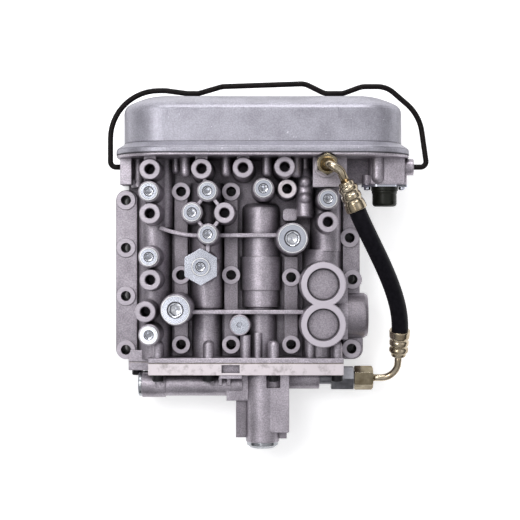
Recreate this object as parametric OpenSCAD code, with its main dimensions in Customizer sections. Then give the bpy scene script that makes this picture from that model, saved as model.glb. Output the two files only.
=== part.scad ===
// Shift control valve of a powershift gearbox, lying on its mounting face.
// X runs to the right, Y towards the solenoid cover, Z up from the mounting face. Millimetres.

/* [Mounting stack] */
// Thickness of the channel plate that bolts to the gearbox
channel_plate_t = 12; // [10:0.5:16]
// Thickness of each paper gasket
gasket_t = 0.5; // [0.3:0.1:1]
// Thickness of the steel separator sheet
separator_t = 1; // [0.6:0.1:2]
// Radius of the mounting bolt holes
bolt_hole_r = 4.5; // [4.2:0.1:5]
// Radius of the raised ring around each mounting bolt hole
bolt_ring_r = 8.1; // [7.5:0.1:9]

/* [Main casting] */
// Thickness of the casting under its open floor
floor_t = 18; // [16:0.5:20]
// Height of the two side flanges above the floor
flange_h = 6; // [4:0.5:8]
// Height of the bolt lands above the floor
land_h = 10; // [8:0.5:12]
// Width of the bolt lands
land_w = 12; // [10:0.5:13]
// Height of the spot-faced rings above their land or flange
ring_h = 1.5; // [0.5:0.25:2.5]
// Height of the spool axes above the floor
column_lift = 2; // [1:0.25:3]
// Height of the gallery ribs above the floor
rib_h = 24; // [22:0.5:28]
// Width of the gallery ribs
rib_w = 3.5; // [3:0.25:5]
// Height of the port bosses above the floor
boss_h = 48; // [44:0.5:50]
// Height of the twin pocket boss above the floor
twin_h = 40; // [36:0.5:44]
// Radius of the two pockets in the twin boss
twin_pocket_r = 14.5; // [12:0.25:16]
// Wall around the two pockets
twin_wall = 5.6; // [4:0.2:6]
// Depth of the two pockets
twin_pocket_d = 8; // [4:0.5:12]

/* [Ports and plugs] */
// Radius of the round bosses of the open ports
port_boss_r = 9.2; // [8:0.1:9.4]
// Radius of the open ports
port_r = 4.25; // [3.5:0.05:5]
// Depth of the open ports
port_d = 34; // [18:1:35]
// Radius of the bosses that carry a screw plug
plug_boss_r = 9.4; // [9:0.1:9.6]
// Radius of the head of a screw plug
plug_head_r = 8.2; // [7.6:0.1:8.8]
// Height of the head of a screw plug
plug_head_h = 3.5; // [2.5:0.25:5]
// Radius of the threaded shank of a screw plug
plug_shank_r = 5.9; // [5:0.1:6.2]
// Length of the threaded shank of a screw plug
plug_shank_l = 12; // [9:0.5:16]
// Width across flats of the socket in a screw plug
plug_socket = 6; // [5:0.5:6.5]
// Radius of the head of a large plug
large_head_r = 12.9; // [12:0.1:13.4]
// Height of the head of a large plug
large_head_h = 4.5; // [3:0.25:6]
// Radius of the threaded shank of a large plug
large_shank_r = 10; // [8.5:0.1:10.4]
// Width across flats of the socket in a large plug
large_socket = 10; // [8:0.5:12]
// Width across flats of the hexagon adapter
adapter_af = 28; // [26:0.5:30]
// Height of the hexagon adapter
adapter_h = 10; // [8:0.5:14]
// Clearance around each screwed shank
thread_clear = 0.05; // [0.02:0.01:0.1]

/* [Spools] */
// Radius of the two left spool bores
small_bore_r = 8; // [6.5:0.25:9]
// Radius of the two right spool bores
big_bore_r = 10; // [8:0.25:11]
// Clearance of a spool in its bore
spool_clear = 0.03; // [0.02:0.01:0.06]
// Travel of the four spools
spool_travel = 8; // [4:0.5:10]
// Length of a spool spring at rest
spool_spring_l = 24; // [20:0.5:30]
// Radius of the wire of all springs
spring_wire_r = 1; // [0.7:0.1:1.2]

/* [Lower housing] */
// Thickness of the flange of the lower housing
housing_flange_t = 10; // [8:0.5:12]
// Height of the housing flange above the mounting face
housing_flange_top = 62; // [61:0.5:66]
// Radius of the regulator bore
regulator_bore_r = 7; // [5:0.25:7.5]
// Radius of the modulator bore
modulator_bore_r = 10; // [8:0.25:11]
// Radius of the vertical cylinder of the lower housing
modulator_r = 15; // [14:0.25:16]
// Radius of the head of a housing screw
screw_head_r = 5; // [4.5:0.1:5.4]
// Radius of the shank of a housing screw
screw_shank_r = 3; // [2.5:0.1:3.2]

/* [Solenoid cover] */
// Radius of the round ends of the cover wall
cover_r = 37; // [35:0.5:38]
// Radius of the round ends of the flared rim
rim_r = 44; // [43:0.5:46]
// Thickness of the cover sheet
cover_t = 1.6; // [1:0.1:2]
// Height of the cover crown above the bail pivot
crown_r = 63; // [60:0.5:66]
// Radius of the bail wire
bail_wire_r = 2.4; // [2:0.1:2.8]
// Running clearance of the bail ends in their holes
bail_pin_clear = 0.05; // [0.02:0.01:0.09]
// Gap between the bail and the cover
bail_gap = 0.3; // [0.2:0.05:1]
// Radius of a solenoid coil
coil_r = 14; // [11:0.5:15]
// Distance between neighbouring solenoids
solenoid_pitch = 36; // [34:0.5:36]

/* [Connector and hose] */
// Radius of the connector barrel
connector_r = 9.6; // [8:0.2:10]
// Wall of the connector cap
connector_cap_wall = 1.2; // [0.8:0.1:1.6]
// Thickness of the connector flange plate
connector_plate_t = 2; // [1.5:0.25:3]
// Outer radius of the hose
hose_r = 7.5; // [6.5:0.25:8]
// Radius of the steel pipe at each end of the hose
pipe_r = 3.2; // [2.6:0.1:3.8]
// Width across flats of the upper union nut
upper_nut_af = 17; // [15:0.5:17]
// Width across flats of the lower union nut
lower_nut_af = 19; // [17:0.5:20]

/* [Hidden] */
$fn = 48;
eps = 0.5;

// Levels above the mounting face
body_z = channel_plate_t + 2 * gasket_t + separator_t;
floor_z = body_z + floor_t;
flange_z = floor_z + flange_h;
land_z = floor_z + land_h;
column_z = floor_z + column_lift;
rib_z = floor_z + rib_h;
boss_z = floor_z + boss_h;
twin_z = floor_z + twin_h;
pad_z = boss_z - 10;
raised_ring_z = boss_z - 18;
flush_z = boss_z - 22;
finger_z = housing_flange_top - 7;
boss_draft = 0.03;

// Plan of the casting
left_x = -112;
right_x = 108;
bottom_y = -82.5;
top_y = 101;
flange_w = 19;
column_x = [-77, -30, 19, 74];
land_x = [-53, -8, 46];
land_top_y = [76, 70, 12];
land_rings = [[-53, 70.5], [-53, -4.5], [-53, -67], [-8, 70.5], [-8, -4.5], [-8, -67], [46, -6.5], [46, -67]];
raised_ring = [42, 72];
flange_rings = [[-103, 63], [-103, 20], [-103, -23.5], [-103, -72], [99, 29], [101.5, -8.6], [100.6, -71]];
bolt_holes = concat(land_rings, [raised_ring], flange_rings);
tab_ports = [[-78, 88.2], [-33, 88.6], [3.2, 89.5], [39.5, 90.2]];
ports = concat(tab_ports, [[-78, 49.5], [-77.7, -8.4], [-82, -36.2], [-13, 50], [77.2, 42.1]]);
diamond = [[-27.7, 69], [-41.2, 50.3], [-27.4, 31.4], [-13, 50]];
plugs = concat(
    [[-78.6, 68.6], [-78.6, 11.6], [-78.6, -56.3], [21, 71.2], [77.2, 62.1]],
    [for (i = [0:2]) diamond[i]]
);
large_plug_at = [[46.3, 27.7], [-55.5, -34.5]];
hex_at = [-33.3, 3];
flush_at = [0, -48.8];
twin_at = [[73.7, -12.5], [73.7, -47.9]];
twin_r = twin_pocket_r + twin_wall;
stub_x = [-48, -12, 24, 50];
stub_r = 4.9;
finger_x = [-73, -28, 30, 86.5];
finger_r = 4.8;
finger_y = -67.4;
ear_screw = [-94, 23];
plate_screw_at = [[-100, 42], [-100, -48], [88, 10], [60, -74]];

// Cover, carrier and bail
cover_x = [-66, 107];
cover_z = 50;
pivot_y = 92;
carrier_r = rim_r - 3;
lip_r = rim_r - 0.4;
lip_y = top_y - 1.8;
step_y = top_y + 2.4;
spigot_r = carrier_r - 4;
spigot_y = top_y + 7;
rim_y = top_y + 1;
rim_top_y = rim_y + 5;
shoulder_y = rim_y + 9.5;
shoulder_slope = (shoulder_y - rim_top_y) / (rim_r - cover_r);
shoulder_drop = cover_t * (sqrt(1 + shoulder_slope * shoulder_slope) - shoulder_slope);
dip_y = pivot_y + crown_r + bail_wire_r + bail_gap;
ear_x = [-106, -96];
pivot_boss_x = [142, 154.7];
solenoid_x0 = -84;

// Connector
connector_at = [129.5, 47];
box_x = [116, 146];
box_y = 76;
connector_screw_dx = 15.5;
plate_y = box_y - connector_plate_t;

// Lower housing
housing_y = bottom_y - gasket_t;
flange_y = housing_y - housing_flange_t;
housing_x = [-81, 92];
regulator_y = flange_y - 10;
regulator_z = 38;
regulator_x = [-88, -9];
modulator_x = 20.3;
modulator_z = 40;
modulator_y = flange_y - 61;
outlet_y = flange_y - 5;
outlet_z = 30;
outlet_r = 10;
outlet_x = 71.7;
outlet_af = lower_nut_af + 1;

// Hose route: both ends come from their fittings
upper_port = [75.8, 91.5];
upper_seat_z = pad_z + 2;
upper_stem_z = upper_seat_z + 18;
upper_start = [91, 75.8, upper_seat_z + 26.5];
upper_end = [101.2, 52, upper_seat_z + 23];
upper_way = unit(upper_end - upper_start);
upper_bend = upper_start - 11 * upper_way;
lower_stem_x = outlet_x + 40.3;
lower_corner = [142.6, outlet_y, outlet_z];
lower_start = [143, -77.6, outlet_z + 7];
lower_way = unit(lower_start - lower_corner);
lower_end = lower_start + 25 * lower_way;
hose_grip = 36;
upper_pipe_r = pipe_r + 0.6;

// Turns a cylinder so that it stands along Y from y0 to y1
module rod_y(x, z, r, y0, y1) {
    translate([x, y0, z]) rotate([-90, 0, 0]) cylinder(r = r, h = y1 - y0);
}

// The same along X from x0 to x1
module rod_x(y, z, r, x0, x1) {
    translate([x0, y, z]) rotate([0, 90, 0]) cylinder(r = r, h = x1 - x0);
}

module post(at, r, z0, z1) {
    translate([at.x, at.y, z0]) cylinder(r = r, h = z1 - z0);
}

module block(x, y, z) {
    translate([x[0], y[0], z[0]]) cube([x[1] - x[0], y[1] - y[0], z[1] - z[0]]);
}

module hexagon(af, h) {
    cylinder(d = af / cos(30), h = h, $fn = 6);
}

// A round boss with casting draft and a broken top edge
module boss(at, r, z1) {
    foot_z = floor_z - 6;
    translate([at.x, at.y, 0])
        rotate_extrude()
            polygon([[0, foot_z], [r + boss_draft * (z1 - foot_z), foot_z], [r, z1 - 0.7], [r - 0.7, z1], [0, z1]]);
}

// An upright web between two points
module web(a, b, t, z0, z1) {
    translate([a.x, a.y, z0])
        rotate([0, 0, atan2(b.y - a.y, b.x - a.x)])
            translate([0, -t / 2, 0]) cube([norm(b - a), t, z1 - z0]);
}

// A cylinder along Y that is rounded over at y0 and flat at y1
module dome_rod_y(x, z, r, y0, y1) {
    translate([x, y0, z])
        rotate([y1 > y0 ? -90 : 90, 0, 0])
            rotate_extrude()
                polygon(concat([[0, abs(y1 - y0)], [r, abs(y1 - y0)]], [for (a = [0:16:80]) r * [cos(a), 0.9 - 0.9 * sin(a)]],
                    [[0, r * (0.9 - 0.9 * sin(80))]]));
}

// A ball with a small flat at its top and bottom
module ball(at, r) {
    translate(at)
        intersection() {
            sphere(r = r);
            cube([3 * r, 3 * r, 2 * r - 0.08], center = true);
        }
}

function unit(v) = v / norm(v);

// Points of the arc that rounds corner b of the line a, b, c
function bend(a, b, c, r, steps) =
    let (
        u = unit(a - b),
        w = unit(c - b),
        half = acos(u * w) / 2,
        start = b + u * r / tan(half),
        centre = b + unit(u + w) * r / sin(half),
        out = (start - centre) / r
    )
    [for (i = [0:steps]) let (g = (180 - 2 * half) * i / steps) centre + r * (cos(g) * out - sin(g) * u)];

// An open line with its inner corners rounded, one radius for each point
function rounded_line(p, r, steps) =
    concat([p[0]], [for (i = [1:len(p) - 2]) each bend(p[i - 1], p[i], p[i + 1], r[i], steps)], [p[len(p) - 1]]);

// A closed outline with rounded corners, a radius of 0 keeps the corner
function rounded_outline(p, r, steps = 6) =
    [for (i = [0:len(p) - 1])
        each (r[i] == 0 ? [p[i]] : bend(p[(i + len(p) - 1) % len(p)], p[i], p[(i + 1) % len(p)], r[i], steps))];

function bezier(a, b, c, d, steps) =
    [for (i = [0:steps])
        let (t = i / steps, s = 1 - t)
        s * s * s * a + 3 * s * s * t * b + 3 * s * t * t * c + t * t * t * d];

function way_at(p, i) = unit(p[min(i + 1, len(p) - 1)] - p[max(i - 1, 0)]);
function across(n, way) = unit(n - (n * way) * way);

// A round bar along the points of a line
module sweep(p, r, sides) {
    last = len(p) - 1;
    normals = [for (i = 0, n = across([0.31, 0.27, 0.91], way_at(p, 0)); i <= last;
        i = i + 1, n = i <= last ? across(n, way_at(p, i)) : n) n];
    points = [for (i = [0:last])
        let (side = cross(way_at(p, i), normals[i]))
        for (j = [0:sides - 1])
            p[i] + r * (cos(360 * j / sides) * normals[i] + sin(360 * j / sides) * side)];
    walls = [for (i = [0:last - 1], j = [0:sides - 1])
        let (k = (j + 1) % sides)
        each [[i * sides + j, (i + 1) * sides + j, (i + 1) * sides + k],
            [i * sides + j, (i + 1) * sides + k, i * sides + k]]];
    ends = [[for (j = [0:sides - 1]) j], [for (j = [sides - 1:-1:0]) last * sides + j]];
    polyhedron(points, concat(walls, ends));
}

// A compression spring along Z with closed ends
module spring(r, length, turns) {
    steps = 10;
    wire = 2 * spring_wire_r;
    rise = length - 3 * wire;
    function height(t) =
        t < 1 ? wire * t : t > turns - 1 ? wire + rise + wire * (t - turns + 1) : wire + rise * (t - 1) / (turns - 2);
    path = [for (i = [0:turns * steps])
        let (t = i / steps)
        [r * cos(360 * t), r * sin(360 * t), spring_wire_r + height(t)]];
    sweep(path, spring_wire_r * 0.98, 6);
}

// A valve spool along Z: lands, grooves and a spring spigot at the bottom end
module spool_form(r, length, spigot_r, spigot_l, lands) {
    pitch = (length - spigot_l) / (2 * lands - 1);
    groove_r = r - 2.5;
    rotate_extrude()
        polygon(concat(
            [[0, 0], [spigot_r, 0], [spigot_r, spigot_l]],
            [for (i = [0:lands - 1])
                let (z = spigot_l + 2 * i * pitch)
                each [[i == 0 ? spigot_r : groove_r, z], [r, z], [r, z + pitch], [i == lands - 1 ? 0 : groove_r, z + pitch]]]
        ));
}

// A solid of revolution whose two halves are pulled apart along the cover
module stadium(path, closed) {
    for (end = [0, 1])
        translate([cover_x[end], 0, cover_z])
            rotate([-90, 0, 0])
                intersection() {
                    rotate_extrude() polygon(path);
                    translate([end == 0 ? -100 : 0, -50, 0]) cube([100, 100, 200]);
                }
    translate([cover_x[0], 0, cover_z])
        rotate([0, 90, 0])
            linear_extrude(cover_x[1] - cover_x[0])
                if (closed) {
                    back = [for (i = [len(path) - 1:-1:0]) if (path[i].x > 0) [-path[i].x, path[i].y]];
                    polygon(concat(path, back));
                } else {
                    polygon(path);
                    mirror([1, 0]) polygon(path);
                }
}

// One skin of the cover from the rim to the middle of the crown
function cover_skin(inset) =
    let (
        drop = inset / cover_t * shoulder_drop,
        wall = cover_r - inset,
        rim = rim_r - inset,
        top_r = crown_r - inset,
        edge_r = cover_r - 11,
        flat_r = edge_r / 4,
        edge_y = sqrt(top_r * top_r - edge_r * edge_r),
        corner_y = pivot_y + edge_y - (wall - edge_r) * edge_r / edge_y,
        line = [[rim, rim_y], [rim, rim_top_y - drop], [wall, shoulder_y - drop], [wall, corner_y],
            [edge_r, pivot_y + edge_y]]
    )
    concat(
        rounded_line(line, [0, 4 - inset, 1.5 + inset, 9 - inset, 0], 4),
        [for (r = [edge_r * 3 / 4, edge_r / 2, flat_r]) [r, pivot_y + sqrt(top_r * top_r - r * r)]],
        [[0, pivot_y + sqrt(top_r * top_r - flat_r * flat_r)]]
    );

// Outline of the plates under the casting, grown by a margin on the right
function plate_outline(grow) =
    rounded_outline(
        [[left_x, -80.5], [right_x + 3, -80.5], [right_x + 3, -62], [right_x + grow, -58], [right_x + grow, 68],
            [94, 68], [94, 91], [-98, 91], [-98, 72.5], [left_x, 72.5]],
        [9, 9.5, 3, 3, 5, 2, 6, 6, 2, 8]
    );

module bolt_drills(z0, z1) {
    for (at = bolt_holes) post(at, bolt_hole_r, z0, z1);
}

// Oil passages between the casting and the gearbox
module oil_drills(z0, z1) {
    for (x = column_x, y = [-52, -20, 34])
        post([x + 8, y], 3.5, z0, z1);
}

module plate_sheet(z, t, grow) {
    difference() {
        translate([0, 0, z]) linear_extrude(t) polygon(plate_outline(grow));
        bolt_drills(z - 1, z + t + 1);
        oil_drills(z - 1, z + t + 1);
        for (at = plate_screw_at) post(at, screw_shank_r + 0.3, z - 1, z + t + 1);
    }
}

module channel_plate() {
    color("darkgray")
        difference() {
            plate_sheet(0, channel_plate_t, 1.5);
            for (at = plate_screw_at)
                translate([at.x, at.y, -0.01])
                    cylinder(r1 = 2 * screw_shank_r + 0.7, r2 = screw_shank_r + 0.3, h = screw_shank_r + 0.4);
        }
}

module channel_gasket() {
    color("tan") plate_sheet(channel_plate_t, gasket_t, 0.5);
}

module separator_plate() {
    color("lightgray") plate_sheet(channel_plate_t + gasket_t, separator_t, 0.5);
}

module body_gasket() {
    color("tan") plate_sheet(body_z - gasket_t, gasket_t, 0);
}

// Countersunk screws that keep the plates together on the bench
module plate_screws() {
    color("dimgray")
        for (at = plate_screw_at)
            translate([at.x, at.y, 0.4])
                difference() {
                    rotate_extrude()
                        polygon([[0, 0], [2 * screw_shank_r, 0], [screw_shank_r, screw_shank_r],
                            [screw_shank_r, body_z + 9], [0, body_z + 9]]);
                    translate([0, 0, -1]) hexagon(screw_shank_r * 1.33, 3);
                }
}

module casting_base() {
    linear_extrude_between(body_z, floor_z)
        polygon(rounded_outline(
            [[-101, -79], [101, -79], [101, 66], [95, 68], [95, top_y + eps], [-101, top_y + eps]],
            [3, 3, 2, 2, 0, 0]
        ));
    linear_extrude_between(body_z, flange_z)
        polygon(rounded_outline(
            [[left_x, -80.5], [left_x + flange_w, -80.5], [left_x + flange_w, 72], [left_x, 72]],
            [9, 2, 9, 9]
        ));
    linear_extrude_between(body_z, flange_z)
        polygon(rounded_outline(
            [[93, -80.5], [right_x + 3, -80.5], [right_x + 3, -62], [right_x, -58], [right_x, 68], [93, 68]],
            [2, 9.4, 3, 3, 5, 2]
        ));
}

module linear_extrude_between(z0, z1) {
    translate([0, 0, z0]) linear_extrude(z1 - z0) children();
}

module casting_lands() {
    for (i = [0:2])
        block([land_x[i] - land_w / 2, land_x[i] + land_w / 2], [-74, land_top_y[i]], [floor_z - eps, land_z]);
    for (at = land_rings) post(at, bolt_ring_r, floor_z - eps, land_z + ring_h);
    for (at = flange_rings) post(at, bolt_ring_r + 0.4, floor_z - eps, flange_z + ring_h);
    boss(raised_ring, bolt_ring_r + 0.6, raised_ring_z);
}

// The four spool columns with their steps
module casting_columns() {
    rod_y(column_x[0], column_z, 15, -80, top_y + eps);
    rod_y(column_x[0] + 10.5, column_z + 5, 6.5, 38, top_y + eps);
    rod_y(column_x[1], column_z, 15, -34, 78);
    rod_y(column_x[1], column_z, 13.4, -80, -33);
    dome_end_column(column_x[2], 17, -33, 60);
    rod_y(column_x[2], column_z, 18.5, -18, 12);
    rod_y(column_x[2], column_z, 14, -80, -32);
    rod_y(column_x[3] + 3, column_z + 4, 14, 17, 74);
    rod_y(column_x[3], column_z, 17.5, -80, 18.5);
}

// A column along Y with a rounded upper end
module dome_end_column(x, r, y0, y1) {
    round_r = 6;
    translate([x, y0, column_z])
        rotate([-90, 0, 0])
            rotate_extrude()
                polygon(concat(
                    [[0, 0], [r, 0]],
                    [for (a = [0:22.5:90]) [r - round_r + round_r * cos(a), y1 - y0 - round_r + round_r * sin(a)]],
                    [[0, y1 - y0]]
                ));
}

module casting_bosses() {
    for (at = ports) boss(at, port_boss_r, boss_z);
    for (at = plugs) boss(at, plug_boss_r, boss_z);
    for (at = large_plug_at) boss(at, large_head_r + 0.9, boss_z - 2);
    boss(hex_at, adapter_af / 2 + 0.4, boss_z - 3);
    boss(flush_at, plug_boss_r, flush_z);
    for (at = tab_ports) block([at.x - 5.2, at.x + 5.2], [at.y, top_y + eps], [boss_z - 14, boss_z - 1.2]);
}

module casting_ribs() {
    web([diamond[2].x, 31], [large_plug_at[0].x, 31], rib_w, floor_z - eps, rib_z);
    web([-46, -37.3], [60, -37.3], rib_w, floor_z - eps, rib_z);
    for (i = [0:3]) web(diamond[i], diamond[(i + 1) % 4], 3, floor_z - eps, boss_z - 2.2);
    web(diamond[0], tab_ports[1], 3, floor_z - eps, boss_z - 2.5);
    web(diamond[2], [diamond[2].x - 1, hex_at.y], 3, floor_z - eps, boss_z - 8);
    // The curved gallery rib at the left
    curve_r = 88;
    translate([-37, 31 + curve_r, floor_z - eps])
        rotate([0, 0, 247])
            rotate_extrude(angle = 24, $fn = 180)
                translate([curve_r - rib_w / 2, 0]) square([rib_w, rib_h - 3]);
}

// Drilling stubs under the cover, the ball-plug bar and the hose pad
module casting_top() {
    for (x = stub_x) {
        dome_rod_y(x, boss_z - 18, stub_r, 81.5, top_y + eps);
        block([x - stub_r + 0.8, x + stub_r - 0.8], [87, top_y + eps], [floor_z - eps, boss_z - 18]);
    }
    dome_rod_y(-57, boss_z - 30, stub_r - 1.3, 86, top_y + eps);
    bar_x = 58;
    bar_r = 7.7;
    bar_z = boss_z - 27;
    neck_r = bar_r / 2;
    translate([bar_x, 0, bar_z])
        rotate([-90, 0, 0])
            rotate_extrude()
                polygon([[0, 46.5], [bar_r - 1.5, 46.5], [bar_r, 48], [bar_r, 82], [neck_r, 90.5],
                    [neck_r, top_y + eps], [0, top_y + eps]]);
    block([bar_x - bar_r + 0.5, bar_x + bar_r - 0.5], [47.5, 82], [floor_z - eps, bar_z]);
    block([bar_x - neck_r + 0.5, bar_x + neck_r - 0.5], [81, top_y + eps], [floor_z - eps, bar_z]);
    for (y = [64, 78]) ball([bar_x, y, bar_z + 3.9], 6.3);
    linear_extrude_between(floor_z - eps, bar_z - 4)
        polygon(rounded_outline([[38.5, 44], [51.4, 44], [51.4, 55], [38.5, 55]], [3.5, 3.5, 3.5, 3.5]));
    block([64.5, 94.4], [73, top_y + eps], [floor_z - eps, pad_z]);
    post(upper_port, 10.1, floor_z, upper_seat_z);
}

module casting_twin() {
    for (at = twin_at) boss(at, twin_r, twin_z);
    block([68, 79.4], [twin_at[1].y, twin_at[0].y], [floor_z - eps, twin_z - 0.8]);
    block([84, 96.4], [-62, -4], [floor_z - eps, floor_z + 20]);
    translate([80, -41, column_z + 1])
        rotate([0, 90, 0])
            rotate_extrude()
                polygon([[0, 0], [20.4, 0], [20.4, 32], [18.6, 34.8], [0, 34.8]]);
}

// The lower flange face with its screw fingers and drilling ends
module casting_bottom() {
    block(housing_x, [bottom_y, -78], [body_z, housing_flange_top - 0.5]);
    block([-100, housing_x[0] + 1], [bottom_y, -72], [body_z, column_z + 10]);
    for (x = finger_x) {
        translate([x, 0, 0]) block([-finger_r + 0.3, finger_r - 0.3], [-79, finger_y], [floor_z - eps, finger_z]);
        post([x, finger_y], finger_r - 0.3, floor_z - eps, finger_z);
        dome_rod_y(x, finger_z, finger_r, finger_y + finger_r - 0.1, -79);
    }
    for (x = [5, 63]) {
        rod_y(x, rib_z - 6, 4.5, -79, -58);
        translate([x, 0, 0]) block([-4, 4], [-79, -58], [floor_z - eps, rib_z - 6]);
    }
    rod_y(16, rib_z - 9, 4.2, -78.5, -56);
}

module casting_carrier() {
    stadium(
        [[0, lip_y], [lip_r - 0.8, lip_y], [lip_r, lip_y + 0.8], [lip_r, rim_y - 0.6], [carrier_r, rim_y - 0.6],
            [carrier_r, step_y], [spigot_r, step_y], [spigot_r, spigot_y], [0, spigot_y]],
        true
    );
    block(ear_x, [76, top_y + eps], [floor_z - eps, cover_z + 9]);
    ridge_x = ear_x[1] + 4.6;
    rod_y(ridge_x, column_z + 9, 6.2, 74, top_y + eps);
    block([ridge_x - 5.6, ridge_x + 5.6], [74, top_y + eps], [floor_z - eps, column_z + 9]);
    ball([ear_x[1] + 1, 79, column_z + 13], 3.2);
    block([94, box_x[0] + 2], [box_y + 2, top_y + eps], [body_z + 2, column_z + 2]);
    block(box_x, [box_y, top_y + eps], [24, cover_z + 13]);
    dome_rod_y(box_x[0] + 6, cover_z + 11.5, 5.8, box_y + 0.4, top_y + eps);
    rod_x(pivot_y, cover_z, 7.4, pivot_boss_x[0], pivot_boss_x[1]);
    for (side = [-1, 1])
        rod_y(connector_at.x + side * connector_screw_dx, connector_at.y, 4.6, box_y, box_y + 9);
}

module casting_drills() {
    bolt_drills(body_z - 1, boss_z + 1);
    for (at = ports) {
        post(at, port_r, boss_z - port_d, boss_z + 1);
        translate([at.x, at.y, boss_z - 0.8]) cylinder(r1 = port_r, r2 = port_r + 1, h = 1);
    }
    for (at = plugs) plug_drill(at, boss_z);
    for (at = large_plug_at) post(at, large_shank_r + thread_clear, boss_z - 16, boss_z);
    for (at = large_plug_at) post(at, large_shank_r + 1.4, boss_z - 3.2, boss_z);
    post(hex_at, large_shank_r + thread_clear, boss_z - 19, boss_z);
    post(hex_at, large_shank_r + 1.4, boss_z - 4.2, boss_z);
    post(flush_at, plug_head_r - 0.2 + thread_clear, flush_z - 10, flush_z + 1);
    for (at = twin_at)
        translate([at.x, at.y, twin_z - twin_pocket_d])
            cylinder(r1 = twin_pocket_r - 0.5, r2 = twin_pocket_r, h = twin_pocket_d + 0.01);
    for (i = [0:3]) rod_y(column_x[i], column_z, bore_r(i), bottom_y - 1, bore_top(i));
    for (x = finger_x) rod_y(x, finger_z, screw_shank_r + thread_clear, bottom_y - 1, -69);
    rod_y(ear_screw.x, ear_screw.y, screw_shank_r + thread_clear, bottom_y - 1, -74);
    for (at = plate_screw_at) post(at, screw_shank_r + thread_clear, body_z - 1, body_z + 10.5);
    oil_drills(body_z - 1, body_z + 4);
    rod_x(pivot_y, cover_z, bail_wire_r + bail_pin_clear, ear_x[0] - 1, ear_x[1] - 1.5);
    rod_x(pivot_y, cover_z, bail_wire_r + bail_pin_clear, pivot_boss_x[1] - 9, pivot_boss_x[1] + 1);
    for (i = [0:4]) rod_y(solenoid_x(i), cover_z, 6 + thread_clear, spigot_y - 5, spigot_y + 1);
    rod_y(connector_at.x, connector_at.y, connector_r - 1 + thread_clear, box_y - 1, spigot_y + 1);
    for (side = [-1, 1])
        rod_y(connector_at.x + side * connector_screw_dx, connector_at.y, 2 + thread_clear, box_y - 1, box_y + 7);
    post(upper_port, 6.9 + thread_clear, upper_seat_z - 13, upper_seat_z + 1);
    // Room for a spanner on the union nut
    post(upper_port, upper_nut_af / 2 / cos(30) + 0.6, upper_seat_z, upper_seat_z + 30);
}

module plug_drill(at, z) {
    post(at, plug_shank_r + thread_clear, z - plug_shank_l - 2, z + 1);
    post(at, plug_shank_r + 1.3, z - 1.2, z + 1);
}

function bore_r(i) = i < 2 ? small_bore_r : big_bore_r;
function bore_top(i) = [56, 56, 42, 14][i];
function solenoid_x(i) = solenoid_x0 + i * solenoid_pitch;

module valve_body() {
    color([0.68, 0.66, 0.69])
        difference() {
            union() {
                casting_base();
                casting_lands();
                casting_columns();
                casting_bosses();
                casting_ribs();
                casting_top();
                casting_twin();
                casting_bottom();
                casting_carrier();
            }
            casting_drills();
        }
}

// A screw plug with a collar head and a hexagon socket, seated at height z
module collar_plug(at, z, head_r, head_h, shank_r, shank_l, socket) {
    translate([at.x, at.y, z])
        difference() {
            rotate_extrude()
                polygon([[0, -shank_l], [shank_r - 0.8, -shank_l], [shank_r, -shank_l + 0.8], [shank_r, 0],
                    [head_r, 0], [head_r, head_h - 0.8], [head_r - 0.8, head_h], [0, head_h]]);
            translate([0, 0, head_h - 0.9 * socket]) hexagon(socket, socket);
            translate([0, 0, head_h - 0.6]) cylinder(r1 = socket * 0.56, r2 = socket * 0.7, h = 1);
        }
}

// Every plug of the small size: the eight on the casting and the one in the hexagon adapter
plug_seats = concat([for (at = plugs) [at.x, at.y, boss_z]], [[hex_at.x, hex_at.y, boss_z - 3 + adapter_h]]);

module port_plugs() {
    color([0.8, 0.83, 0.88])
        for (seat = plug_seats)
            collar_plug(seat, seat.z, plug_head_r, plug_head_h, plug_shank_r, plug_shank_l, plug_socket);
}

module seal_ring(at, z, r_in, r_out, h) {
    translate([at.x, at.y, z])
        rotate_extrude() translate([r_in, -h]) square([r_out - r_in, h]);
}

module port_plug_seals() {
    color("black")
        for (seat = plug_seats)
            seal_ring(seat, seat.z, plug_shank_r + thread_clear, plug_shank_r + 1.25, 1.2);
}

module large_plugs() {
    color([0.8, 0.83, 0.88])
        for (at = large_plug_at)
            collar_plug(at, boss_z - 2, large_head_r, large_head_h, large_shank_r, 12, large_socket);
}

module large_plug_seals() {
    color("black")
        for (at = large_plug_at)
            seal_ring(at, boss_z - 2, large_shank_r + thread_clear, large_shank_r + 1.35, 1.2);
}

module hex_adapter() {
    z = boss_z - 3;
    color([0.82, 0.85, 0.92])
        difference() {
            translate([hex_at.x, hex_at.y, z]) {
                rotate([0, 0, 90]) hexagon(adapter_af, adapter_h);
                translate([0, 0, -14]) cylinder(r = large_shank_r, h = 14 + eps);
            }
            plug_drill(hex_at, z + adapter_h);
        }
}

module hex_adapter_seal() {
    color("black")
        seal_ring(hex_at, boss_z - 3, large_shank_r + thread_clear, large_shank_r + 1.35, 1.2);
}

module flush_plug() {
    color([0.85, 0.87, 0.92])
        translate([flush_at.x, flush_at.y, flush_z - 10])
            difference() {
                cylinder(r = plug_head_r - 0.2, h = 9.4);
                translate([0, 0, 5]) hexagon(plug_socket - 1, 5);
            }
}

// Spools stand along Y with their spring at the lower flange
module spool(i) {
    r = bore_r(i) - spool_clear;
    foot_y = bottom_y + spool_spring_l;
    color("silver")
        translate([column_x[i], foot_y - 6, column_z])
            rotate([-90, 0, 0])
                spool_form(r, bore_top(i) - 0.3 - foot_y + 6, bore_r(i) - 2 * spring_wire_r - 1.6, 6, i == 3 ? 3 : 4);
}

module spool_spring(i) {
    color("dimgray")
        translate([column_x[i], bottom_y + 0.1, column_z])
            rotate([-90, 0, 0])
                spring(bore_r(i) - spring_wire_r - 0.6, spool_spring_l - 0.2, 6);
}

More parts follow.
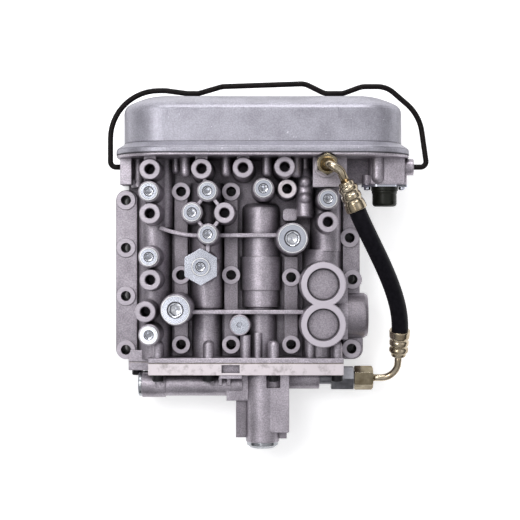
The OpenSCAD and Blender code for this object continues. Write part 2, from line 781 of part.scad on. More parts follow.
// Face of the lower flange, seen along Y
module flange_face() {
    polygon([[housing_x[0], -housing_flange_top], [housing_x[1], -housing_flange_top], [housing_x[1], -body_z],
        [-100, -body_z], [-100, -column_z - 10], [housing_x[0], -column_z - 10]]);
}

module flange_slice(y0, y1) {
    translate([0, y0, 0]) rotate([-90, 0, 0]) linear_extrude(y1 - y0) flange_face();
}

module flange_drills(y0, y1) {
    for (x = finger_x) rod_y(x, finger_z, screw_shank_r + 0.3, y0, y1);
    rod_y(ear_screw.x, ear_screw.y, screw_shank_r + 0.3, y0, y1);
}

module housing_gasket() {
    color("tan")
        difference() {
            flange_slice(housing_y, bottom_y);
            flange_drills(housing_y - 1, bottom_y + 1);
        }
}

module lower_housing() {
    ear_y = housing_y - 7;
    color([0.7, 0.68, 0.71])
        difference() {
            union() {
                block(housing_x, [flange_y, housing_y], [body_z, housing_flange_top]);
                block([-100, housing_x[0] + 1], [ear_y, housing_y], [body_z, column_z + 10]);
                rod_x(regulator_y, regulator_z, 10.5, regulator_x[0] + 18, 2);
                rod_x(regulator_y, regulator_z, 11.7, regulator_x[0], regulator_x[0] + 21);
                block([regulator_x[0] + 1, regulator_x[0] + 82], [regulator_y, flange_y + 1], [24, regulator_z + 6]);
                rod_y(modulator_x, modulator_z, modulator_r, modulator_y, flange_y + 1);
                linear_extrude_between(26, modulator_z + 0.9 * modulator_r)
                    polygon(rounded_outline(
                        [[modulator_x + 2, flange_y + 1], [44, flange_y + 1], [44, modulator_y + 9],
                            [modulator_x + 9, modulator_y + 9], [modulator_x + 2, modulator_y + 14]],
                        [0, 0, 1.5, 2, 0]
                    ));
                block([30, 42], [modulator_y + 2.5, modulator_y + 14], [29, modulator_z + 3]);
                block([-3.6, modulator_x], [modulator_y + 3.4, regulator_y - 9], [33, modulator_z + 2]);
                block([-12, 8], [regulator_y - 14, flange_y + 1], [28, modulator_z + 7]);
                block([-18, 2], [flange_y - 3.2, flange_y + 1], [40, housing_flange_top - 1]);
                for (x = [-25, -17.5, -10]) block([x - 1.6, x + 1.6], [regulator_y, flange_y + 1], [regulator_z, regulator_z + 12.5]);
                rod_x(outlet_y, outlet_z, outlet_r, 40, outlet_x);
                block([40, outlet_x - 4], [outlet_y, flange_y + 1], [22, outlet_z + 7]);
            }
            flange_drills(flange_y - 1, housing_y + 1);
            for (x = finger_x) rod_y(x, finger_z, screw_head_r + 1.2, flange_y - 12, flange_y);
            block([-16, 0], [flange_y + 2, housing_y - 1], [housing_flange_top - 5, housing_flange_top + 1]);
            rod_x(regulator_y, regulator_z, regulator_bore_r, regulator_x[0] - 1, regulator_x[1] - 3);
            rod_y(modulator_x, modulator_z, modulator_bore_r, modulator_y - 1, modulator_top);
            rod_x(outlet_y, outlet_z, 5 + thread_clear, outlet_x - 16, outlet_x + 1);
            // Room for the hexagon of the outlet adapter
            block([outlet_x, housing_x[1] + 1], [flange_y - 1, outlet_y + outlet_af / 2 + 0.6],
                [body_z - 1, outlet_z + outlet_af / 2 / cos(30) + 0.8]);
        }
}

// Socket-head cap screws under the lower flange
module housing_screws() {
    color([0.08, 0.08, 0.09]) {
        for (x = finger_x) cap_screw(x, flange_y, finger_z, housing_flange_t + 11);
        cap_screw(ear_screw.x, housing_y - 7, ear_screw.y, 14);
    }
}

module cap_screw(x, y, z, length) {
    translate([x, y, z])
        rotate([90, 0, 0])
            difference() {
                union() {
                    rotate_extrude()
                        polygon([[0, 0], [screw_head_r, 0], [screw_head_r, 5.4], [screw_head_r - 0.6, 6], [0, 6]]);
                    translate([0, 0, -length]) cylinder(r = screw_shank_r, h = length + eps);
                }
                translate([0, 0, 3]) hexagon(screw_head_r, 4);
            }
}

cap_shank_l = 8;
regulator_spring_l = 18;
modulator_spring_l = 20;
modulator_top = modulator_y + 50;

module regulator_cap() {
    color([0.85, 0.86, 0.9])
        translate([regulator_x[0], regulator_y, regulator_z])
            rotate([0, -90, 0])
                difference() {
                    rotate_extrude()
                        polygon([[0, -cap_shank_l], [regulator_bore_r - thread_clear, -cap_shank_l],
                            [regulator_bore_r - thread_clear, 0], [10.8, 0], [10.8, 2.6], [10, 3.4], [0, 3.4]]);
                    translate([0, 0, -1.6]) hexagon(8, 6);
                }
}

module regulator_spring() {
    x0 = regulator_x[0] + cap_shank_l;
    color("dimgray")
        translate([x0 + 0.1, regulator_y, regulator_z])
            rotate([0, 90, 0])
                spring(regulator_bore_r - spring_wire_r - 0.6, regulator_spring_l - 0.2, 6);
}

module regulator_spool() {
    foot_x = regulator_x[0] + cap_shank_l + regulator_spring_l;
    color("silver")
        translate([foot_x - 5, regulator_y, regulator_z])
            rotate([0, 90, 0])
                spool_form(regulator_bore_r - spool_clear, regulator_x[1] - 3.3 - foot_x + 5,
                    regulator_bore_r - 2 * spring_wire_r - 1.6, 5, 3);
}

module modulator_cap() {
    color([0.85, 0.86, 0.9])
        translate([modulator_x, modulator_y, modulator_z])
            rotate([90, 0, 0])
                difference() {
                    rotate_extrude()
                        polygon([[0, -cap_shank_l], [modulator_bore_r - thread_clear, -cap_shank_l],
                            [modulator_bore_r - thread_clear, 0], [modulator_r - 0.8, 0], [modulator_r - 0.8, 3],
                            [modulator_r - 4, 5.6], [0, 5.6]]);
                    translate([0, 0, 0.6]) hexagon(12, 6);
                }
}

module modulator_spring() {
    color("dimgray")
        translate([modulator_x, modulator_y + cap_shank_l + 0.1, modulator_z])
            rotate([-90, 0, 0])
                spring(modulator_bore_r - spring_wire_r - 0.6, modulator_spring_l - 0.2, 6);
}

module modulator_piston() {
    foot_y = modulator_y + cap_shank_l + modulator_spring_l;
    color("silver")
        translate([modulator_x, foot_y - 6, modulator_z])
            rotate([-90, 0, 0])
                spool_form(modulator_bore_r - spool_clear, modulator_top - 0.3 - foot_y + 6,
                    modulator_bore_r - 2 * spring_wire_r - 1.6, 6, 2);
}

module solenoid_cover() {
    inner = cover_skin(cover_t);
    color([0.73, 0.72, 0.76])
        stadium(concat(cover_skin(0), [for (i = [len(inner) - 1:-1:0]) inner[i]]), false);
}

// Moulded seal on the step of the carrier, under the shoulder of the cover
module cover_seal() {
    r_in = spigot_r + 0.3;
    function top(r) = rim_top_y - shoulder_drop + shoulder_slope * (rim_r - cover_t - r) - 0.15;
    color("black")
        stadium([[r_in, step_y], [carrier_r, step_y], [carrier_r, top(carrier_r)], [r_in, top(r_in)]], false);
}

// Wire bail over the crown of the cover, with its two ends in the casting
module bail_wire() {
    left = ear_x[0] - 9.6;
    right = pivot_boss_x[1] + 12.4;
    line = [
        [ear_x[0] - 2, pivot_y], [left, pivot_y], [left, dip_y + 2.6], [-66, dip_y + 2.6], [-47, dip_y],
        [-37, dip_y], [-16, dip_y + 6.2], [58, dip_y + 8.8], [76, dip_y], [92, dip_y], [109, dip_y + 6.2],
        [131, dip_y + 6.3], [right - 6.6, dip_y - 19.2], [right, pivot_y], [pivot_boss_x[1] + 2, pivot_y]
    ];
    radii = [0, 5, 43, 12, 9, 9, 20, 16, 12, 12, 16, 22, 40, 5, 0];
    path = [for (p = rounded_line(line, radii, 5)) [p.x, p.y, cover_z]];
    color([0.1, 0.09, 0.09]) {
        sweep(path, bail_wire_r * 0.985, 12);
        rod_x(pivot_y, cover_z, bail_wire_r, ear_x[0] - 3.5, ear_x[1] - 2);
        rod_x(pivot_y, cover_z, bail_wire_r, pivot_boss_x[1] - 8.5, pivot_boss_x[1] + 3.5);
    }
}

coil_h = 26;
coil_y = spigot_y + 4;

// Cartridge, armature tube and top nut of one solenoid
module solenoid_valve(i) {
    color("silver")
        translate([solenoid_x(i), spigot_y, cover_z])
            rotate([-90, 0, 0]) {
                rotate_extrude()
                    polygon([[0, -4.6], [6, -4.6], [6, 0], [9, 0], [9, 4], [5.5, 4], [5.5, coil_h + 4.4], [0, coil_h + 4.4]]);
                translate([0, 0, coil_h + 4.2]) hexagon(14, 4);
            }
}

module solenoid_coil(i) {
    color([0.12, 0.12, 0.13])
        difference() {
            union() {
                translate([solenoid_x(i), coil_y + 0.1, cover_z])
                    rotate([-90, 0, 0])
                        rotate_extrude()
                            polygon([[0, 0], [coil_r - 1, 0], [coil_r, 1], [coil_r, coil_h - 1], [coil_r - 1, coil_h], [0, coil_h]]);
                translate([solenoid_x(i), 0, 0])
                    block([-5, 5], [coil_y + 9, coil_y + 19], [loom_z + loom_r + 0.3, cover_z - 8]);
            }
            rod_y(solenoid_x(i), cover_z, 5.6, coil_y - 1, coil_y + coil_h + 1);
        }
}

loom_r = 3;
loom_z = cover_z - coil_r - 6;
loom_y = coil_y + 14;

// Loom from the coils to the connector
module wiring_loom() {
    line = [[solenoid_x(0) - 4, loom_y, loom_z], [104, loom_y, loom_z],
        [connector_at.x, loom_y - 4, connector_at.y - 4], [connector_at.x, box_y + 12.2, connector_at.y]];
    color([0.1, 0.1, 0.1]) sweep(rounded_line(line, [0, 12, 9, 0], 6), loom_r, 8);
}

// Receptacle in the harness box, pointing down out of the flange plate
module connector_socket() {
    r = connector_r;
    color([0.09, 0.09, 0.08])
        translate([connector_at.x, box_y, connector_at.y])
            rotate([90, 0, 0])
                difference() {
                    rotate_extrude()
                        polygon([[0, -12], [r - 1, -12], [r - 1, 0], [r - 1, connector_plate_t + 0.1],
                            [r + 2.4, connector_plate_t + 0.1], [r + 2.4, 5], [r, 5], [r, 17], [0, 17]]);
                    translate([0, 0, 8]) cylinder(r = r - 1.6, h = 12);
                }
}

// Push-on cap that closes the receptacle
module connector_cap() {
    r = connector_r + 0.05;
    out = r + connector_cap_wall;
    color([0.09, 0.1, 0.08])
        translate([connector_at.x, box_y - 5.2, connector_at.y])
            rotate([90, 0, 0])
                rotate_extrude()
                    polygon(concat(
                        [[0, 12], [r, 12], [r, 0], [out + 0.5, 0], [out + 0.5, 2], [out, 2.6]],
                        [for (a = [0:22.5:90]) [out - 2.6 + 2.6 * cos(a), 11.4 + 2.6 * sin(a)]],
                        [[0, 14]]
                    ));
}

module connector_flange() {
    color([0.78, 0.8, 0.84])
        difference() {
            translate([connector_at.x, box_y, connector_at.y])
                rotate([90, 0, 0])
                    linear_extrude(connector_plate_t)
                        polygon(rounded_outline(
                            [[-20.5, -5], [-9, -14], [9, -14], [20.5, -5], [20.5, 5], [9, 14], [-9, 14], [-20.5, 5]],
                            [4, 5, 5, 4, 4, 5, 5, 4]
                        ));
            rod_y(connector_at.x, connector_at.y, connector_r - 1 + thread_clear, plate_y - 1, box_y + 1);
            for (side = [-1, 1])
                rod_y(connector_at.x + side * connector_screw_dx, connector_at.y, 2.3, plate_y - 1, box_y + 1);
        }
}

module connector_screws() {
    color("silver")
        for (side = [-1, 1])
            translate([connector_at.x + side * connector_screw_dx, plate_y, connector_at.y])
                rotate([90, 0, 0])
                    difference() {
                        union() {
                            rotate_extrude() polygon([[0, 0], [3, 0], [3, 1.8], [2.2, 2.6], [0, 2.6]]);
                            translate([0, 0, -8]) cylinder(r = 2, h = 8 + eps);
                        }
                        translate([0, 0, 1.2]) hexagon(2.5, 2);
                    }
}

// Straight adapter: shank, hexagon and stem, standing along Z at the origin
module adapter_form(shank_r, shank_l, neck_r, neck_l, af, hex_l, stem_r, stem_l) {
    bore = 2;
    difference() {
        union() {
            translate([0, 0, -shank_l]) cylinder(r = shank_r, h = shank_l + eps);
            cylinder(r = neck_r, h = neck_l + eps);
            translate([0, 0, neck_l]) hexagon(af, hex_l);
            translate([0, 0, neck_l + hex_l - eps]) cylinder(r = stem_r, h = stem_l + eps);
        }
        translate([0, 0, -shank_l - 1]) cylinder(r = bore, h = shank_l + neck_l + hex_l + stem_l + 2);
    }
}

// Union nut with a seat for the stem and a wide mouth for the pipe, along Z from the origin
module nut_form(af, h, stem_r, stem_l) {
    difference() {
        intersection() {
            hexagon(af, h);
            rotate_extrude()
                polygon([[0, 0], [af * 0.53, 0], [af * 0.6, 1.2], [af * 0.6, h - 1.6], [af * 0.5, h], [0, h]]);
        }
        translate([0, 0, -1]) cylinder(r = stem_r + thread_clear, h = stem_l + 1);
        cylinder(r = pipe_r + 1.4, h = h + 1);
        translate([0, 0, h - 2]) cylinder(r1 = pipe_r + 1.4, r2 = pipe_r + 3.4, h = 2.01);
    }
}

module upper_adapter() {
    color([0.78, 0.72, 0.52])
        translate([upper_port.x, upper_port.y, upper_seat_z])
            rotate([0, 0, 90]) adapter_form(6.9, 12, 8.4, 1.5, upper_nut_af, 5.5, 5.8, 11);
}

module upper_nut() {
    color([0.78, 0.72, 0.5])
        translate([upper_port.x, upper_port.y, upper_seat_z + 7.4])
            rotate([0, 0, 90]) nut_form(upper_nut_af, 17, 5.8, 11.2);
}

// Pipe collar that the union nut pulls against the stem
module pipe_end(h) {
    cylinder(r = pipe_r + 1.3, h = h);
}

module upper_pipe() {
    corner = [upper_port.x, upper_port.y, upper_bend.z];
    line = [[upper_port.x, upper_port.y, upper_stem_z + 1], corner, upper_bend, upper_start + 2 * upper_way];
    color([0.76, 0.74, 0.6]) {
        sweep(rounded_line(line, [0, 7, 7, 0], 7), upper_pipe_r, 12);
        translate([upper_port.x, upper_port.y, upper_stem_z + 0.1]) pipe_end(3);
    }
}

// Crimped ferrule along Z from the pipe end at 0 to the hose mouth
module ferrule_form(length, pipe) {
    r = hose_r + 1.5;
    difference() {
        rotate_extrude()
            polygon([[0, 0], [6.4, 0], [6.8, 1.4], [6.8, 3.4], [r - 0.4, 4.4], [r - 0.4, 8], [r - 1.2, 8.8],
                [r - 1.2, 10.4], [r - 0.3, 11.2], [r - 0.3, 15], [r - 1, 15.8], [r - 1, 17.2], [r, 18.4],
                [r + 0.5, length - 1], [r + 0.2, length], [0, length]]);
        translate([0, 0, length - 12]) cylinder(r = hose_r + 0.1, h = 13);
        translate([0, 0, -1]) cylinder(r = pipe + 0.02, h = 4);
    }
}

// Stands the Z axis along a direction from a point
module along(at, way) {
    translate(at)
        rotate([0, acos(way.z), atan2(way.y, way.x)]) children();
}

module upper_ferrule() {
    color([0.74, 0.66, 0.45]) along(upper_start, upper_way) ferrule_form(norm(upper_end - upper_start), upper_pipe_r);
}

module lower_ferrule() {
    color([0.74, 0.66, 0.45]) along(lower_end, -lower_way) mirror_length(norm(lower_end - lower_start));
}

module mirror_length(length) {
    translate([0, 0, length]) mirror([0, 0, 1]) ferrule_form(length, pipe_r);
}

module hose() {
    seat = 10;
    path = bezier(lower_end, lower_end + hose_grip * lower_way, upper_end + hose_grip * upper_way, upper_end, 20);
    color([0.08, 0.08, 0.09])
        sweep(concat([lower_end - seat * lower_way], path, [upper_end - seat * upper_way]), hose_r, 12);
}

module lower_pipe() {
    line = [[lower_stem_x + 1, outlet_y, outlet_z], lower_corner, lower_start + 2 * lower_way];
    color([0.76, 0.74, 0.6]) {
        sweep(rounded_line(line, [0, 15, 0], 8), pipe_r, 12);
        translate([lower_stem_x + 0.1, outlet_y, outlet_z]) rotate([0, 90, 0]) pipe_end(3);
    }
}

module lower_nut() {
    color([0.72, 0.68, 0.48])
        translate([outlet_x + 31.7, outlet_y, outlet_z]) rotate([0, 90, 0])
            rotate([0, 0, 90]) nut_form(lower_nut_af, 17, 5.8, 8.7);
}

module lower_adapter() {
    color([0.72, 0.74, 0.78])
        translate([outlet_x, outlet_y, outlet_z])
            rotate([0, 90, 0]) adapter_form(5, 14, 5.9, 10.9, outlet_af, 20, 5.8, 9.4);
}

channel_plate();
channel_gasket();
separator_plate();
body_gasket();
plate_screws();
valve_body();
port_plugs();
port_plug_seals();
large_plugs();
large_plug_seals();
hex_adapter();
hex_adapter_seal();
flush_plug();
for (i = [0:3]) spool(i);
for (i = [0:3]) spool_spring(i);
housing_gasket();
lower_housing();
housing_screws();
regulator_spool();
regulator_spring();
regulator_cap();
modulator_piston();
modulator_spring();
modulator_cap();
solenoid_cover();
cover_seal();
bail_wire();
for (i = [0:4]) solenoid_valve(i);
for (i = [0:4]) solenoid_coil(i);
wiring_loom();
connector_socket();
connector_cap();
connector_flange();
connector_screws();
upper_adapter();
upper_nut();
upper_pipe();
upper_ferrule();
hose();
lower_ferrule();
lower_pipe();
lower_nut();
lower_adapter();
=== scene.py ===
# %% [markdown]
# # A gearbox shift valve, seen from straight above
# The solids arrive finished from the CAD side. This lesson gives them the skin of the real thing:
# sand-cast aluminium with milled faces, a drawn steel cover, zinc and yellow chromate on the fittings,
# black wire, rubber and moulded plastic. The bail, the hose with its pipes and ferrules, the screw plugs
# and the springs are swapped for finer pieces of the same size.

# %% Load the solids
import bpy
import math
import numpy as np
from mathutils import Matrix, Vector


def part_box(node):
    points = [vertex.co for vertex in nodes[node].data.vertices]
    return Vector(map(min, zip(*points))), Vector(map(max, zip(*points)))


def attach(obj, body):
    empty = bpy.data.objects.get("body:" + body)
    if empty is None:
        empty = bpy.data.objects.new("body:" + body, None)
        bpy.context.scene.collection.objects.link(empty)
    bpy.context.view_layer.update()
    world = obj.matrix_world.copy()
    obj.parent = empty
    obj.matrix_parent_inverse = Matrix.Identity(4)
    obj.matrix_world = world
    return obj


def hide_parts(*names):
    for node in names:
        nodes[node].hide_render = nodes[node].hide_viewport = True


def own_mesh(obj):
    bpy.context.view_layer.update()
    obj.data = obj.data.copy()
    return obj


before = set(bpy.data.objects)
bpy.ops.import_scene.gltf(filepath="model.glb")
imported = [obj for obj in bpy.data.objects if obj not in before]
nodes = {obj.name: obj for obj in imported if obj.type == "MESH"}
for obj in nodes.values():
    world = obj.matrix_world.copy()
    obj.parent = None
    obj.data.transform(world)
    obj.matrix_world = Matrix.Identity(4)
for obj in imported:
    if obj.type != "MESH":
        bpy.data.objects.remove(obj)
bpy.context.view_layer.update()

# %% [markdown]
# ## Camera
# The photograph looks down the Z axis from about 1.1 m above the boss tops. A long lens at that height
# shows a little of each boss wall, always on the side that faces the picture's middle, so the distance
# matters more than the zoom. 452 mm fill the square frame at the height of the boss tops.

# %% Place the camera
BOSS_TOP = 0.080
EYE_HEIGHT = 1.100
PIXELS, PIXEL = 520, 0.00087
MIDDLE = (0.018, 0.009)

eye = bpy.data.cameras.new("overhead_camera")
eye.sensor_fit = "HORIZONTAL"
eye.angle = 2 * math.atan(PIXELS * PIXEL / 2 / EYE_HEIGHT)
eye.clip_end = 20
eye_holder = bpy.data.objects.new("overhead_camera", eye)
eye_holder.location = (*MIDDLE, BOSS_TOP + EYE_HEIGHT)
bpy.context.scene.collection.objects.link(eye_holder)
bpy.context.scene.camera = eye_holder
bpy.context.scene.view_settings.view_transform = "Standard"
print("field of view:", round(math.degrees(eye.angle), 2), "degrees")

# %% [markdown]
# ## Building node trees
# Every finish below is a small network. Writing `tree.nodes.new` and `tree.links.new` for each box gets
# long, so one helper adds a node, sets its properties and fills its sockets. A socket takes either a
# plain value or the output of another node. The other helpers are the few boxes that turn up most.

# %% A helper that adds one node
def fill(tree, socket, value):
    """Links an output to the socket, or sets the socket to a plain value."""
    if isinstance(value, bpy.types.NodeSocket):
        tree.links.new(value, socket)
    else:
        socket.default_value = value


def add(tree, kind, sockets=None, **settings):
    """One node. sockets maps an input's name or number to a value or to an output socket."""
    node = tree.nodes.new(kind)
    for key, value in settings.items():
        setattr(node, key, value)
    for key, value in (sockets or {}).items():
        fill(tree, node.inputs[key], value)
    return node


print("one helper for every node")

# %% Helpers for values and masks
def math_node(tree, operation, a, b=0.0, clamp=False):
    """The output of one Math node."""
    return add(tree, "ShaderNodeMath", {0: a, 1: b}, operation=operation, use_clamp=clamp).outputs[0]


def times(tree, *factors, clamp=False):
    """The product of two or more values."""
    product = factors[0]
    for factor in factors[1:]:
        product = math_node(tree, "MULTIPLY", product, factor, clamp)
    return product


def ramp(tree, value, low, high, reverse=False):
    """0 below low, 1 above high and a smooth step between, or the other way round."""
    span = add(tree, "ShaderNodeMapRange", {"Value": value, "From Min": low, "From Max": high},
               interpolation_type="SMOOTHSTEP")
    if reverse:
        span.inputs["To Min"].default_value = 1
        span.inputs["To Max"].default_value = 0
    return span.outputs["Result"]


def at_level(tree, level, z, within):
    """1 where the height is z, give or take within."""
    return add(tree, "ShaderNodeMath", {0: level, 1: z, 2: within}, operation="COMPARE").outputs[0]


print("mask helpers ready")

# %% Helpers for places, noise and colour
MIX_SHARE, MIX_FIRST, MIX_SECOND, MIXED_COLOUR = 0, 6, 7, 2


def here(tree):
    """Object coordinates: the place on the valve, in metres."""
    return add(tree, "ShaderNodeTexCoord").outputs["Object"]


def stretched(tree, place, scale):
    """The place, scaled along each axis."""
    return add(tree, "ShaderNodeMapping", {"Vector": place, "Scale": scale}).outputs[0]


def noise(tree, at, scale, detail=3.0, roughness=0.55):
    """The value of one Noise Texture, from 0 to 1."""
    return add(tree, "ShaderNodeTexNoise", {"Vector": at, "Scale": scale, "Detail": detail,
               "Roughness": roughness}).outputs["Fac"]


def mix(tree, share, first, second):
    """The colour between first and second."""
    return add(tree, "ShaderNodeMix", {MIX_SHARE: share, MIX_FIRST: first, MIX_SECOND: second},
               data_type="RGBA").outputs[MIXED_COLOUR]


print("colour helpers ready")

# %% [markdown]
# ## Floor and light
# The valve lies on white paper under wide soft light, so the tops are bright, the columns carry a bright
# line along their crest and the walls that face sideways go dark. A world that is bright overhead and dim
# at the horizon gives most of that. Four area lamps add to it: one at the left, weak ones at the right and
# near the eye, and one at the back for the cover's shoulder, which faces away from the others. The paper
# glows a little outside the valve's own outline only, so that the bolt holes, which go right through, stay
# dark.

# %% Make the floor
FLOOR_HALF, FLOOR_Z = 4.0, -0.0006
corner = np.array([[-1, -1], [1, -1], [1, 1], [-1, 1]]) * FLOOR_HALF
floor_mesh = bpy.data.meshes.new("white_paper")
floor_mesh.from_pydata(np.column_stack([corner, np.full(4, FLOOR_Z)]).tolist(), [], [(0, 1, 2, 3)])
floor = bpy.data.objects.new("white_paper", floor_mesh)
bpy.context.scene.collection.objects.link(floor)
print("floor:", floor.name)

# %% Let the paper glow outside the valve
OUTLINE_HALF = (0.108, 0.080)
GLOW = 0.5
paper = bpy.data.materials.new("white_paper")
paper.use_nodes = True
tree = paper.node_tree
tree.nodes.clear()
part = add(tree, "ShaderNodeSeparateXYZ", {0: here(tree)})
past = [math_node(tree, "SUBTRACT", math_node(tree, "ABSOLUTE", part.outputs[axis]), half)
        for axis, half in enumerate(OUTLINE_HALF)]
outside = math_node(tree, "MAXIMUM", *past)
ray = add(tree, "ShaderNodeLightPath").outputs
seen = math_node(tree, "MAXIMUM", ray["Is Camera Ray"],
                 math_node(tree, "MAXIMUM", ray["Is Glossy Ray"], ray["Is Transmission Ray"]))
glow = times(tree, ramp(tree, outside, -0.004, 0.004), seen, GLOW)
matt = add(tree, "ShaderNodeBsdfDiffuse", {"Color": (0.93, 0.93, 0.93, 1)}).outputs[0]
light = add(tree, "ShaderNodeEmission", {"Color": (1, 1, 1, 1), "Strength": glow}).outputs[0]
both = add(tree, "ShaderNodeAddShader", {0: matt, 1: light}).outputs[0]
add(tree, "ShaderNodeOutputMaterial", {"Surface": both})
floor_mesh.materials.append(paper)
print("paper:", paper.name)

# %% Hang the lights
LAMP_TARGET = np.array([*MIDDLE, 0.04])


def soft_box(name, at, size, watts):
    """A square area lamp that looks at the middle of the valve."""
    lamp = bpy.data.lights.new(name, "AREA")
    lamp.size = size
    lamp.energy = watts
    holder = bpy.data.objects.new(name, lamp)
    holder.location = at
    away = np.array(at) - LAMP_TARGET
    flat = math.hypot(away[0], away[1])
    holder.rotation_euler = (math.atan2(flat, away[2]), 0, math.atan2(away[0], -away[1]))
    bpy.context.scene.collection.objects.link(holder)


soft_box("box_left", (-0.55, 0.42, 1.40), 0.6, 7)
soft_box("box_right", (1.15, 0.15, 1.45), 0.7, 1)
soft_box("box_near", (-0.34, -0.20, 1.60), 0.28, 0.7)
soft_box("box_back", (0.10, 1.25, 0.70), 0.7, 9)

# %% Brighten the sky overhead
SKY_STRENGTH = 0.8
world = bpy.data.worlds.new("studio")
bpy.context.scene.world = world
world.use_nodes = True
tree = world.node_tree
tree.nodes.clear()
upward = add(tree, "ShaderNodeTexCoord").outputs["Generated"]
sky = add(tree, "ShaderNodeSeparateXYZ", {0: upward}).outputs[2]
shade = mix(tree, ramp(tree, sky, 0.05, 0.85), (0.04, 0.04, 0.042, 1), (0.74, 0.74, 0.76, 1))
dome = add(tree, "ShaderNodeBackground", {"Color": shade, "Strength": SKY_STRENGTH}).outputs[0]
add(tree, "ShaderNodeOutputWorld", {"Surface": dome})
print("world:", world.name)

# %% [markdown]
# ## Effects that several finishes share
# Three effects turn up again and again: the fine pebble of a surface, the rounding that every edge has
# with its wear and its painted highlight, and the darkening low down, which is grime together with painted
# shade. Each is a node group with its own inputs, so a finish places it and sets its values.

# %% The pebble group
def new_group(name, inputs, outputs):
    """An empty shader group with the named float inputs and the outputs given as (name, socket type)."""
    group = bpy.data.node_groups.new(name, "ShaderNodeTree")
    for label, value in inputs.items():
        socket = group.interface.new_socket(label, in_out="INPUT", socket_type="NodeSocketFloat")
        socket.default_value = value
    for label, kind in outputs:
        group.interface.new_socket(label, in_out="OUTPUT", socket_type=kind)
    return group, group.nodes.new("NodeGroupInput"), group.nodes.new("NodeGroupOutput")


pebble, given, made = new_group("pebble", {"Fine": 2600.0, "Broad": 160.0},
                                [("Height", "NodeSocketFloat"), ("Cloud", "NodeSocketFloat")])
place = here(pebble)
grain = noise(pebble, place, given.outputs["Fine"], 2.0)
cloud = noise(pebble, place, given.outputs["Broad"], 4.0, 0.6)
height = math_node(pebble, "ADD", grain, times(pebble, cloud, 0.6))
pebble.links.new(height, made.inputs["Height"])
pebble.links.new(cloud, made.inputs["Cloud"])
print("group:", pebble.name)

# %% The edge group
edges, given, made = new_group("soft_edges", {"Radius": 0.0008, "Patchy": 1.0},
                               [("Normal", "NodeSocketVector"), ("Wear and highlight", "NodeSocketFloat")])
round_off = add(edges, "ShaderNodeBevel", {"Radius": given.outputs["Radius"]}, samples=6).outputs["Normal"]
face = add(edges, "ShaderNodeNewGeometry").outputs["Normal"]
turn = add(edges, "ShaderNodeVectorMath", {0: round_off, 1: face}, operation="DOT_PRODUCT").outputs["Value"]
rub = noise(edges, here(edges), 420.0, 3.0)
gone = times(edges, ramp(edges, rub, 0.30, 0.70, reverse=True), given.outputs["Patchy"])
# Worn edges: the brighter edge colour stands for bare metal and also for a painted edge highlight.
bare_and_lit = times(edges, ramp(edges, turn, 0.80, 0.985, reverse=True), math_node(edges, "SUBTRACT", 1.0, gone))
edges.links.new(round_off, made.inputs["Normal"])
edges.links.new(bare_and_lit, made.inputs["Wear and highlight"])
print("group:", edges.name)

# %% The group for grime and painted low shade
grime_and_low_shade, given, made = new_group("grime_and_low_shade", {"Clean above": 0.060, "Dirty below": 0.034},
                               [("Mask", "NodeSocketFloat")])
place = here(grime_and_low_shade)
level = add(grime_and_low_shade, "ShaderNodeSeparateXYZ", {0: place}).outputs[2]
# Darker towards the bottom: grime together with painted shade of the low parts.
low = add(grime_and_low_shade, "ShaderNodeMapRange", {"Value": level, "From Min": given.outputs["Clean above"],
          "From Max": given.outputs["Dirty below"]}).outputs["Result"]
patch = ramp(grime_and_low_shade, noise(grime_and_low_shade, place, 70.0, 5.0, 0.6), 0.25, 0.75)
mask = times(grime_and_low_shade, low, math_node(grime_and_low_shade, "ADD", times(grime_and_low_shade, patch, 0.6), 0.4), clamp=True)
grime_and_low_shade.links.new(mask, made.inputs["Mask"])
print("group:", grime_and_low_shade.name)

# %% [markdown]
# ## The finishes
# A finish is a material with one Principled shader. The base colour starts from the plated or cast tone,
# is clouded by the pebble group, darkened low down by grime together with painted shade, darkened by specks,
# given painted shade in hollows, and brightened where an edge is worn and carries a painted highlight.
# Ambient occlusion finds a hollow: where little open sky is in reach, the colour is darkened as painted
# shade. The same pebble feeds a Bump node on top of the rounded edge normal.

# %% One builder for most finishes
OPEN_SKY = 0.78


def use(tree, group, **values):
    """Places a shared group and sets its inputs, with underscores for spaces."""
    node = add(tree, "ShaderNodeGroup", node_tree=group)
    for key, value in values.items():
        node.inputs[key.replace("_", " ")].default_value = value
    return node


